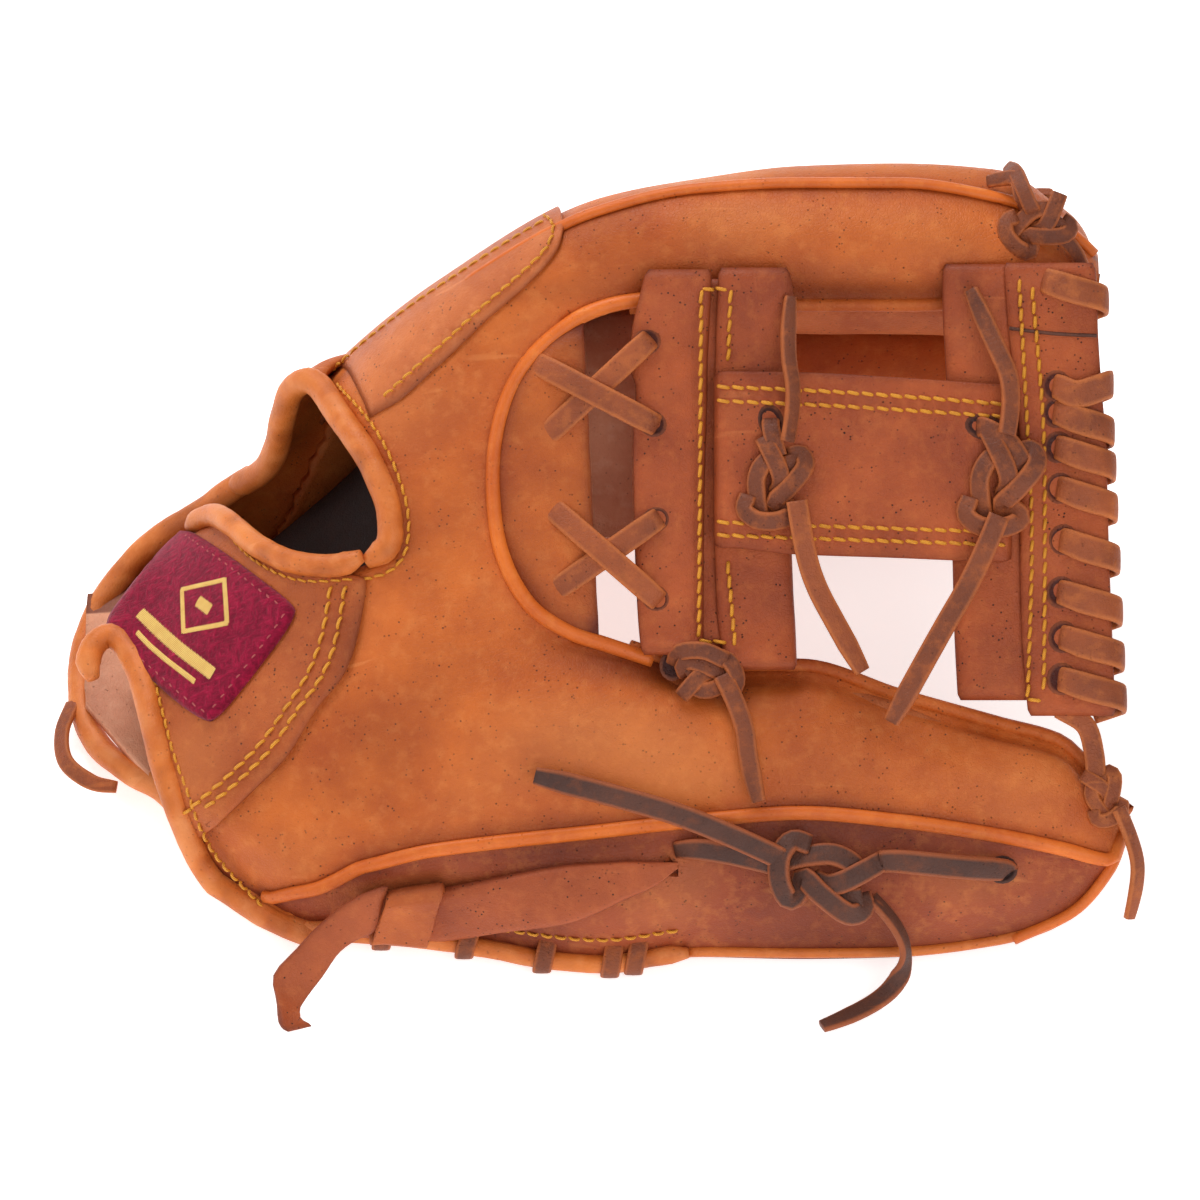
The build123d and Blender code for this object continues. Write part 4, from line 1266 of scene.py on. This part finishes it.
def make_web_tip():
    """The sleeve and the laced plate at the fingertip side of the web."""
    sleeve = [(188, 92.6, 113), (180, 92.4, 114), (158, 93.4, 115), (130, 94.6, 116), (107, 95.2, 117),
              (90, 95.6, 118), (70.2, 96.6, 119)]
    plate = [(188.3, 108.8, 133.6), (180, 109.3, 134.2), (171, 110.0, 134.4), (155, 112, 135.4),
             (140, 113, 136.6), (111, 113.2, 137.4), (90, 113.6, 138.2), (66, 115.5, 139.2)]
    sleeve = pad(flat_rows(sleeve, lambda u: SLEEVE_D - 2.0 * ramp(u, 172, 16)), SLEEVE_THICK)
    plate = pad(flat_rows(plate, lambda u: TIP_D - 1.6 * ramp(u, 176, 12)), TIP_THICK, 5.0)
    place(made("web_tip_leather", WEB, sleeve, plate), "fold", "web_leather", "web_tip_bar",
          "web_tip_bar_end")
    d = TIP_D - TIP_THICK / 2 - 0.02
    rows = (((113, 184), (114.9, 150.5), (116.5, 115.4), (115.4, 70.3)),
            ((116.5, 182), (119.5, 146), (120, 111), (119.7, 70.3)), ((115.4, 70.3), (119.7, 70.3)))
    web_sewn("web_tip_stitching", "fold",
             [[(x, d - 1.6 * ramp(u, 176, 12), u) for x, u in row] for row in rows])
    seam = spline([(110.4, d + 0.1, 170.6), (122, d - 0.1, 169.2), (134.0, d + 0.3, 168.6)], 1.5)
    place(made("web_tip_seam", DARK_LACE, tube(seam, 0.5, OUT, 6)), "fold", "web_leather")


def dimple(point, wide, tall, turn=0.0):
    """The hole that a lace goes into: a shallow oval dish with a raised rim, dark inside with painted shadow.
    """
    c, s = math.cos(turn), math.sin(turn)
    # The dish's middle and inner rings carry painted shadow, its rim less of it.
    points, shade = [np.array(point, float) + OUT * -0.2], [0.02]
    for ring, (reach, rise) in enumerate(((0.5, -0.1), (0.85, 0.1), (1.0, 0.35), (1.2, -0.1))):
        for k in range(16):
            a = 2 * math.pi * k / 16
            p, q = wide / 2 * reach * math.cos(a), tall / 2 * reach * math.sin(a)
            points.append(np.array(point) + np.array((p * c - q * s, 0, p * s + q * c)) + OUT * rise)
            shade.append((0.02, 0.05, 0.5, 0.7)[ring])
    faces = [(0, 1 + k, 1 + (k + 1) % 16) for k in range(16)]
    for r in range(3):
        for k in range(16):
            a, b = 1 + r * 16 + k, 1 + r * 16 + (k + 1) % 16
            faces.append((a, a + 16, b + 16, b))
    return np.array(points), faces, np.array(shade)


def arched(start, end, rise=2.2, count=7, dip=2.5):
    """A lace's line between two holes, that rises over what it crosses and dips in at its ends."""
    a, b = np.array(start, float), np.array(end, float)
    along = unit(b - a)
    points = [a - along * 1.2 - OUT * dip]
    for k in range(count):
        t = k / (count - 1)
        points.append(a + (b - a) * t + OUT * (rise * math.sin(math.pi * t) ** 0.6 + 0.8))
    points.append(b + along * 1.2 - OUT * dip)
    return spline(points, 1.0)


def make_cross_laces():
    """The two X laces that tie the web's base to the hand."""
    pairs = [((-16.8, 161.1), (14.3, 144.9), 3.6), ((-14.9, 141.4), (12.7, 167.0), 1.6),
             ((-13.2, 122.4), (15.1, 97.8), 3.6), ((-12.4, 99.7), (15.1, 118.9), 1.6)]
    parts = []
    for (x0, u0), (x1, u1), rise in pairs:
        start, end = on_face(x0, u0, 1.2), np.array((x1, BAR_D - BAR_THICK / 2, u1))
        parts.append(lace(arched(start, end, rise), OUT, 6.6, 1.9, (0.8, 0.8)))
        turn = math.atan2(u1 - u0, x1 - x0)
        parts.append(dimple(start, 7.5, 6.4, turn))
        parts.append(dimple(end, 6.5, 6.0, turn))
    place(made("cross_laces", LACE, *parts), "fold", "lace", "crotch_lace")


def make_whip_laces():
    """The lace that whips the fingertip edge of the web. Its upper turns and its end are two pieces."""
    holes = [(119.5, 182.5), (122.5, 154.0), (122.6, 147.0), (123, 137.5), (123.5, 126.5), (124.3, 112.5),
             (123.7, 98.5), (124.3, 86.3), (124.0, 75.0)]
    upper = 6
    ups = np.array([OUT, OUT, OUT, unit((0.9, -0.5, 0)), unit((1, 0.1, 0)), unit((0.4, 1, 0)), -OUT])
    parts = []
    d = TIP_D - TIP_THICK / 2
    for i, (x, u) in enumerate(holes):
        edge = 134.0 + (182 - u) * 0.045
        low = u + (1.5 if i == 1 else -4.6)
        over = d - 1.6 * ramp(u, 176, 12)
        line = spline([(x, d + 1.8, u + 1.0), (x + 1.2, over - 1.0, u + 0.8),
                       ((x + edge) / 2, over - 1.9, u - 1.2),
                       (edge + 1.0, d - 0.4, u + (low - u) * 0.75), (edge + 2.6, d + 3.0, low),
                       (edge + 0.6, d + 6.6, low - 0.8), (edge - 6, d + 6.2, low - 3)], 1.0)
        parts.append([lace(line, ups, 7.6, 1.8, (0.75, 1.0)), dimple((x + 0.6, d, u + 1.0), 7.0, 7.6, -0.2)])
    place(made("web_whip_lace", LACE, *sum(parts[:upper], [])), "fold", "lace", "web_lace")
    end = lace(spline([(124, -6, 68), (131, -5, 63.5), (133.4, -3.6, 56), (134, -3.2, 48.5)], 1.0),
               OUT, 5.6, 1.9)
    place(made("web_whip_lace_end", LACE, *sum(parts[upper:], []), end), "fold", "lace", "web_lace_end")


make_web_base()
make_web_bridge()
make_web_tip()
make_cross_laces()
make_whip_laces()


# ---------------------------------------------------------------- knots and free lace ends
# The three runs of a tied lace: (along, up, out) from the middle of the knot.
KNOT_RUNS = (
    [(-5.9, 12.3, 1.5), (-11, 13.6, 2.6), (-14.6, 9, 3.6), (-14.8, 1.8, 3.8), (-12.1, -3.6, 2.6),
     (-8.9, -1.5, 1.0), (-8.0, 2.8, 2.4), (-2.3, -2.5, 3.6), (5.4, -8.0, 3.2), (10, -6.5, 1.4), (9, -2, 0.4)],
    [(-13.2, 7.6, 0.6), (-5.9, 9.1, 2.0), (1.3, 9.4, 3.2), (7.1, 6.0, 2.6), (5.2, 2.0, 1.0), (0.6, -1.0, 0.6),
     (4.5, -3.3, 1.6), (9.5, -3.0, 2.4)],
    [(-5.0, 2.4, 0.8), (-1.0, 0.6, 2.6), (3.6, 1.4, 4.2), (10, 4.6, 3.8), (15.4, 7.6, 1.6)],
)


def tied(x, d, u, turn, size, width):
    """The laces of a knot in the middle of the face at (x, d, u), turned and scaled."""
    c, s = math.cos(math.radians(turn)), math.sin(math.radians(turn))
    parts = []
    for run in KNOT_RUNS:
        line = spline([(x + size * (a * c - b * s), d - size * out, u + size * (a * s + b * c))
                       for a, b, out in run], 0.9)
        ups = np.array([unit(OUT + unit(r) * 0.55) for r in line - np.array((x, d + 2, u))])
        parts.append(lace(line, ups, width, 2.0, (0.9, 0.9)))
    return parts


def route_line(points):
    """The smooth line of a free lace's route, read from its NURBS spline."""
    curve = bpy.data.curves.new("route", "CURVE")
    curve.dimensions = "3D"
    line = curve.splines.new("NURBS")
    line.points.add(len(points) - 1)
    for place_on, point in zip(line.points, points):
        place_on.co = (*at(*point), 1.0)
    line.order_u = 3
    line.use_endpoint_u = True
    line.resolution_u = 10
    holder = bpy.data.objects.new("route", curve)
    bpy.context.scene.collection.objects.link(holder)
    graph = bpy.context.evaluated_depsgraph_get()
    graph.update()
    mesh = bpy.data.meshes.new_from_object(holder.evaluated_get(graph))
    points = [v.co.copy() for v in mesh.vertices]
    bpy.data.objects.remove(holder)
    bpy.data.meshes.remove(mesh)
    return points


# Each free lace end: its route's points, width, material, slot, body, and which way its flat side
# looks at its start and its end.
TAILS = {
    "web_tail_left_up": ([(50.5, -17.5, 140), (52.9, -16.8, 152), (50.0, -15.2, 165), (51.4, -11.5, 179)],
                         4.4, KNOT_LACE, "lace", "fingers", (0.75, -1, 0), (0.3, -1, 0.1)),
    "web_tail_left_down": ([(53.0, -17.0, 124), (54.5, -16.5, 113.5), (57.5, -15.0, 102), (63.8, -13.0, 90.5),
                            (70.8, -12.0, 78)], 5.8, LACE, "lace", "fingers", (0, -1, 0), (0.3, -1, 0.2)),
    "web_tail_right_up": ([(109.5, -17.5, 142), (112.0, -16.5, 154), (105.8, -14.2, 167.5),
                           (100.0, -11.5, 181)],
                          5.2, KNOT_LACE, "lace", "fingers", (0.6, -1, 0.3), (-0.5, -1, 0)),
    "web_tail_right_down": ([(107.5, -17.0, 120), (101.5, -17.4, 105), (91.0, -17.4, 87.5),
                             (78.4, -17.0, 64.3)],
                            5.9, KNOT_LACE, "lace", "fingers", (0, -1, 0), (-0.2, -1, 0.2)),
    "base_tail": ([(33.0, -10.0, 77), (39.0, -12.0, 65.5), (39.9, -12.8, 53.5), (42.8, -13.6, 43)],
                  5.3, KNOT_LACE, "lace", "thumb", (0.3, -1, 0), (-0.4, -1, 0)),
    "thumb_tail_long": ([(49.0, -12.5, 27.5), (28.0, -15.0, 37.5), (5.4, -14.4, 44.3), (-17.6, -14.0, 50)],
                        6.3, DARK_LACE, "dark_lace", "thumb", (0, -1, -0.25), (0, -1, -0.25)),
    "thumb_tail_floor": ([(73.5, -8.0, 16.8), (82.0, -5.5, 8.5), (83.0, 1.0, -3.0), (74.0, 3.0, -13.0),
                          (60.0, -1.8, -17.9)],
                         5.4, DARK_LACE, "lace", "thumb", (1.2, -1, 0.9), (0.3, -1, 1.4)),
    "thumb_tip_tail": ([(140.0, -8.5, 41), (144.8, -7.5, 30.5), (145.4, -4.5, 20.5), (143.0, -1.0, 11.4)],
                       4.4, LACE, "lace", "thumb", (0.8, -1, 0.3), (0.8, -1, 0)),
}


def make_tail(name, points, width, material, slot, body, up_start, up_end):
    path = route_line(points)
    ups = np.array([unit(up_start), unit(np.add(up_start, up_end)), unit(up_end)])
    obj = made(name + "_lace", material, lace(face_frame(path), ups, width, 2.1, (1.0, 0.62)))
    place(obj, body, slot, name)


def make_web_knots():
    """The two knots on the web's bridge and the one at the web's base, with the holes their laces use."""
    d = BRIDGE_D - BRIDGE_THICK / 2
    left = spline([(46, d + 1, 146), (46.2, d - 2.0, 143), (48, d - 3.0, 136)], 0.8)
    place(made("web_knot_left_lace", KNOT_LACE, *tied(49.2, d - 0.6, 129.5, 88, 0.74, 5.2),
               dimple((46.0, d, 145.6), 6.0, 8.0, 0.3), lace(left, OUT, 5.0, 2.0)), "fingers", "lace",
               "web_knot_left")
    right = spline([(102, d + 1, 144), (104, d - 2.2, 143.6), (110, d - 3.4, 140), (114, d - 3, 134)], 0.8)
    place(made("web_knot_right_lace", KNOT_LACE, *tied(110.6, d - 0.6, 129.5, 88, 0.86, 5.6),
               dimple((103.4, d, 144.0), 9.0, 6.0, -0.2), lace(right, OUT, 5.6, 2.0)), "fingers", "lace",
               "web_knot_right")
    base = spline([(20.0, -4.6, 80), (21.5, -8.6, 83.2), (28, -10.4, 83.6), (34, -9.4, 81)], 0.8)
    place(made("base_knot_lace", KNOT_LACE, *tied(28.2, -7.4, 77.8, 200, 0.52, 4.8),
               lace(base, OUT, 4.8, 2.0), dimple((19.6, -5.6, 79.6), 6, 7)), "thumb", "lace", "base_knot")


def make_thumb_knot():
    """The dark knot on the thumb, with a run of lace to each side of it."""
    flat = unit((0, -1, -0.3))
    hole = on_face(108.6, 24.6, 0.8)
    start = on_face(20.5, 30.0, 0.4)
    right = spline([(75.6, -11.4, 26.8), (80, -12.2, 26.9), (88, -12.6, 26.2), (98, -11.2, 25.2),
                    hole + OUT * 2.4, hole + (1.5, 1.6, -0.2)], 1.0)
    left = spline([start, (27, -9.4, 30), (36, -10.6, 28.6), (47, -10.6, 26)], 1.0)
    parts = [lace(right, flat, 6.6, 2.2, (0.9, 0.8)), dimple(hole, 7.0, 6.4),
             lace(left, flat, 6.0, 2.1, (0.7, 1.0))]
    place(made("thumb_knot_lace", DARK_LACE, *tied(62, -9.4, 20, 0, 0.92, 6.2), *parts), "thumb", "dark_lace",
          "thumb_knot")


def make_tip_knots():
    """The small knots at the tips of the thumb and the index finger, and the lace's end at the heel."""
    tip = tied(137.0, -2.4, 45.6, 120, 0.46, 4.2)
    place(made("thumb_tip_knot_lace", LACE, *tip), "thumb", "lace", "thumb_tip_knot")
    index = tied(120.0, -1.2, 197.5, 40, 0.6, 4.8)
    ends = [[(114.6, 2.0, 203), (113.8, -3.6, 206), (112.6, 0.0, 211.0), (108.5, 4.0, 211.2),
             (105.0, 6.0, 210.5)],
            [(118.5, 2.0, 201), (116.6, -4.2, 203), (114.4, -4.6, 208), (112.4, 2.0, 213),
             (110.6, 9.0, 214.6)],
            [(123, -3.0, 197), (128, -1.0, 192), (130.5, 1.0, 187.6)]]
    index += [lace(spline(e, 0.9), unit((-0.3, -1, 0.3)), 4.4, 2.0, (1.0, 0.7)) for e in ends]
    place(made("index_tip_knot_lace", KNOT_LACE, *index), "fingers", "lace", "index_tip_knot")

    heel = spline([(-144.5, 66, 69), (-147.3, 59, 61), (-146, 52, 53), (-139, 48, 47.6), (-132, 46.5, 46.2)],
                  1.0)
    place(made("heel_lace_leather", LACE, lace(heel, unit((-0.6, -1, 0.2)), 4.6, 1.9, (1.0, 0.6))),
          "fingers", "lace", "heel_lace_end")


# ---------------------------------------------------------------- the thumb's strap and edge
def make_thumb_strap():
    """The strap over the thumb's seam, its keeper, and the tail that hangs from it to the floor."""
    strap = [(-66, 18.6, 7.6), (-56, 20.2, 7.0), (-44.4, 20.9, 6.6), (-25.6, 23.6, 9.3), (-7.7, 26.2, 11.5),
             (5.8, 27, 16.5), (14.8, 27, 20.5), (21, 27, 25.2)]
    rows = [((x, line_of(x, top)), (x, line_of(x, low))) for x, top, low in strap]
    obj = laid("thumb_strap_leather", rows, THUMB_STRAP, 4.6, 4.0, 0.5, (60, 18), False)
    place(obj, "thumb", "strap_leather", "thumb_strap")
    keeper = [(-62.5, 21.0, 7.0), (-58, 22.0, 7.2), (-52, 22.8, 6.6), (-47.5, 23.2, 6.2)]
    rows = [((x + 5.0, line_of(x + 5, top)), (x, line_of(x, low))) for x, top, low in keeper]
    obj = laid("strap_keeper_leather", rows, STRAP, 7.4, 5.0, 0.5, (22, 22), False)
    place(obj, "thumb", "strap_leather", "strap_keeper")
    tail = [((-61, 3.5, 7.5), (-57, -1.6, 20.5), 1.0), ((-66, 3.4, 5.4), (-66, -1.6, 16.8), 1.0),
            ((-70.5, 3.6, 2.2), (-74, -0.2, 11), 1.0), ((-75.2, 4.0, -4.6), (-82, 1.0, 3.0), 1.0),
            ((-79.6, 3.2, -10.6), (-88.6, 1.6, -5.6), 1.0), ((-81.4, 2.0, -13.6), (-87.2, -1.0, -11.5), 0.9),
            ((-81.4, 0.2, -15.6), (-86.4, -4.6, -16.8), 0.8),
            ((-77.4, -1.2, -17.8), (-84.6, -5.2, -19.4), 0.7)]
    obj = made("strap_tail_leather", THUMB_STRAP, pad(tail, 2.6, 5.0, 26, 2.0, 1.4))
    obj.data.flip_normals()
    place(obj, "thumb", "strap_leather", "strap_tail")


def make_thumb_edge():
    """The rolled edge under the strap, its whip laces, and the seam stitching beside it."""
    line = np.array([surface(x, 0.12, 0.6) for x in spaced(-80, 24, 2.0)]) + OUT * 1.4
    roll = bumpy(line, unit((0, -1, -0.8)), 2.6, 12, 0.1)
    thin = spline([surface(x, 0.12, 0.3) for x in spaced(24, 128, 6)], 2.0)
    place(made("thumb_edge_roll", ROLL, roll, tube(thin, 1.5, OUT, 8)), "thumb", "binding_leather")
    ups = np.array([OUT, OUT, unit((0, -1, -0.2)), unit((0, -1, -0.8)), unit((0, 0, -1)), unit((0, 1, -0.6)),
                    -OUT])
    parts = []
    for x, lean in ((-59.0, 1.0), (-36.5, 2.4), (-15.4, 1.8), (3.0, 1.2), (9.4, 1.6)):
        low = surface(x, 0.1)
        turns = [(lean * 1.2, 0.8, 8.4), (lean, -3.4, 7.4), (lean * 0.6, -5.0, 3.4), (0, -5.0, -1.2),
                 (-0.4, -2.0, -3.2), (-0.2, 1.4, -2.0), (0.2, 2.4, 2.0)]
        parts.append(lace(spline([low + turn for turn in turns], 0.9), ups, 5.2, 1.9, (0.8, 1.0)))
    place(made("thumb_edge_laces", KNOT_LACE, *parts), "thumb", "dark_lace", "edge_lace")
    seam = along_surface([(x, 0.55) for x in spaced(-46, 22, 2.0)], 0.2)
    sewn("thumb_edge_stitching", "thumb", [seam], THUMB_STITCH)


make_web_knots()
make_thumb_knot()
make_tip_knots()
for tail, facts in TAILS.items():
    make_tail(tail, *facts)
make_thumb_strap()
make_thumb_edge()


# ---------------------------------------------------------------- laces between the far fingers
def make_finger_laces():
    parts = []
    for x, (d0, u0), (d1, u1) in ((121, (44, 207), (53, 202)), (121, (80, 186), (88, 175)),
                                  (118, (103, 151), (107, 138))):
        a, b = np.array((x, d0, u0), float), np.array((x, d1, u1), float)
        out = unit((0.5, (d0 + d1) / 2 - 40, (u0 + u1) / 2 - 130))
        line = spline([a - out * 4, a + out * 1.5, (a + b) / 2 + out * 3.4, b + out * 1.5, b - out * 4], 1.0)
        parts.append(lace(line, out, 5.4, 2.0))
    place(made("finger_laces", LACE, *parts), "fingers", "lace", "finger_lace")


make_finger_laces()

# ---------------------------------------------------------------- floor, light and camera
def make_stage():
    """A plain pale floor."""
    mesh = bpy.data.meshes.new("floor")
    size = 3.0
    corners = [(-size, -size, 0), (size, -size, 0), (size, size, 0), (-size, size, 0)]
    mesh.from_pydata(corners, [], [(0, 1, 2, 3)])
    floor = bpy.data.objects.new("floor", mesh)
    bpy.context.scene.collection.objects.link(floor)
    n = Nodes("floor_paint")
    n.shader.inputs["Base Color"].default_value = (0.93, 0.93, 0.93, 1.0)
    n.shader.inputs["Roughness"].default_value = 0.8
    n.shader.inputs["Specular IOR Level"].default_value = 0.2
    n.shader.inputs["Emission Color"].default_value = (1.0, 1.0, 1.0, 1.0)
    n.shader.inputs["Emission Strength"].default_value = 0.62
    mesh.materials.append(n.material)


def area_light(name, where, size, power):
    """A soft square light of size metres and power watts that shines at the middle of the glove."""
    data = bpy.data.lights.new(name, "AREA")
    data.shape = "SQUARE"
    data.size = size
    data.energy = power
    lamp = bpy.data.objects.new(name, data)
    lamp.location = where
    lamp.rotation_euler = (Vector((0.0, 0.0, 0.06)) - Vector(where)).to_track_quat("-Z", "Y").to_euler()
    bpy.context.scene.collection.objects.link(lamp)


def make_lights():
    area_light("top_light", (-0.25, 0.75, 1.05), 0.7, 10.5)
    area_light("front_light", (0.35, -1.0, 0.75), 1.0, 7.2)
    area_light("side_light", (-1.0, -0.1, 0.6), 0.8, 2.8)
    world_data = bpy.data.worlds.new("studio")
    world_data.use_nodes = True
    background = world_data.node_tree.nodes["Background"]
    background.inputs["Color"].default_value = (1.0, 1.0, 1.0, 1.0)
    background.inputs["Strength"].default_value = 0.42
    bpy.context.scene.world = world_data


def make_camera():
    """Square on to the face, from far enough away that it looks flat."""
    distance, view_width = 4.5, 1.2 / 3.7
    target = at(0.0, 0.0, 97.3)
    away = Vector((0.0, -math.cos(LEAN), math.sin(LEAN)))
    data = bpy.data.cameras.new("camera")
    data.sensor_width = 36.0
    data.lens = data.sensor_width * distance / view_width
    data.clip_end = 20.0
    camera = bpy.data.objects.new("camera", data)
    camera.location = target + away * distance
    camera.rotation_euler = (-away).to_track_quat("-Z", "Y").to_euler()
    bpy.context.scene.collection.objects.link(camera)
    bpy.context.scene.camera = camera


make_stage()
make_lights()
make_camera()
bpy.context.scene.view_settings.view_transform = "Standard"
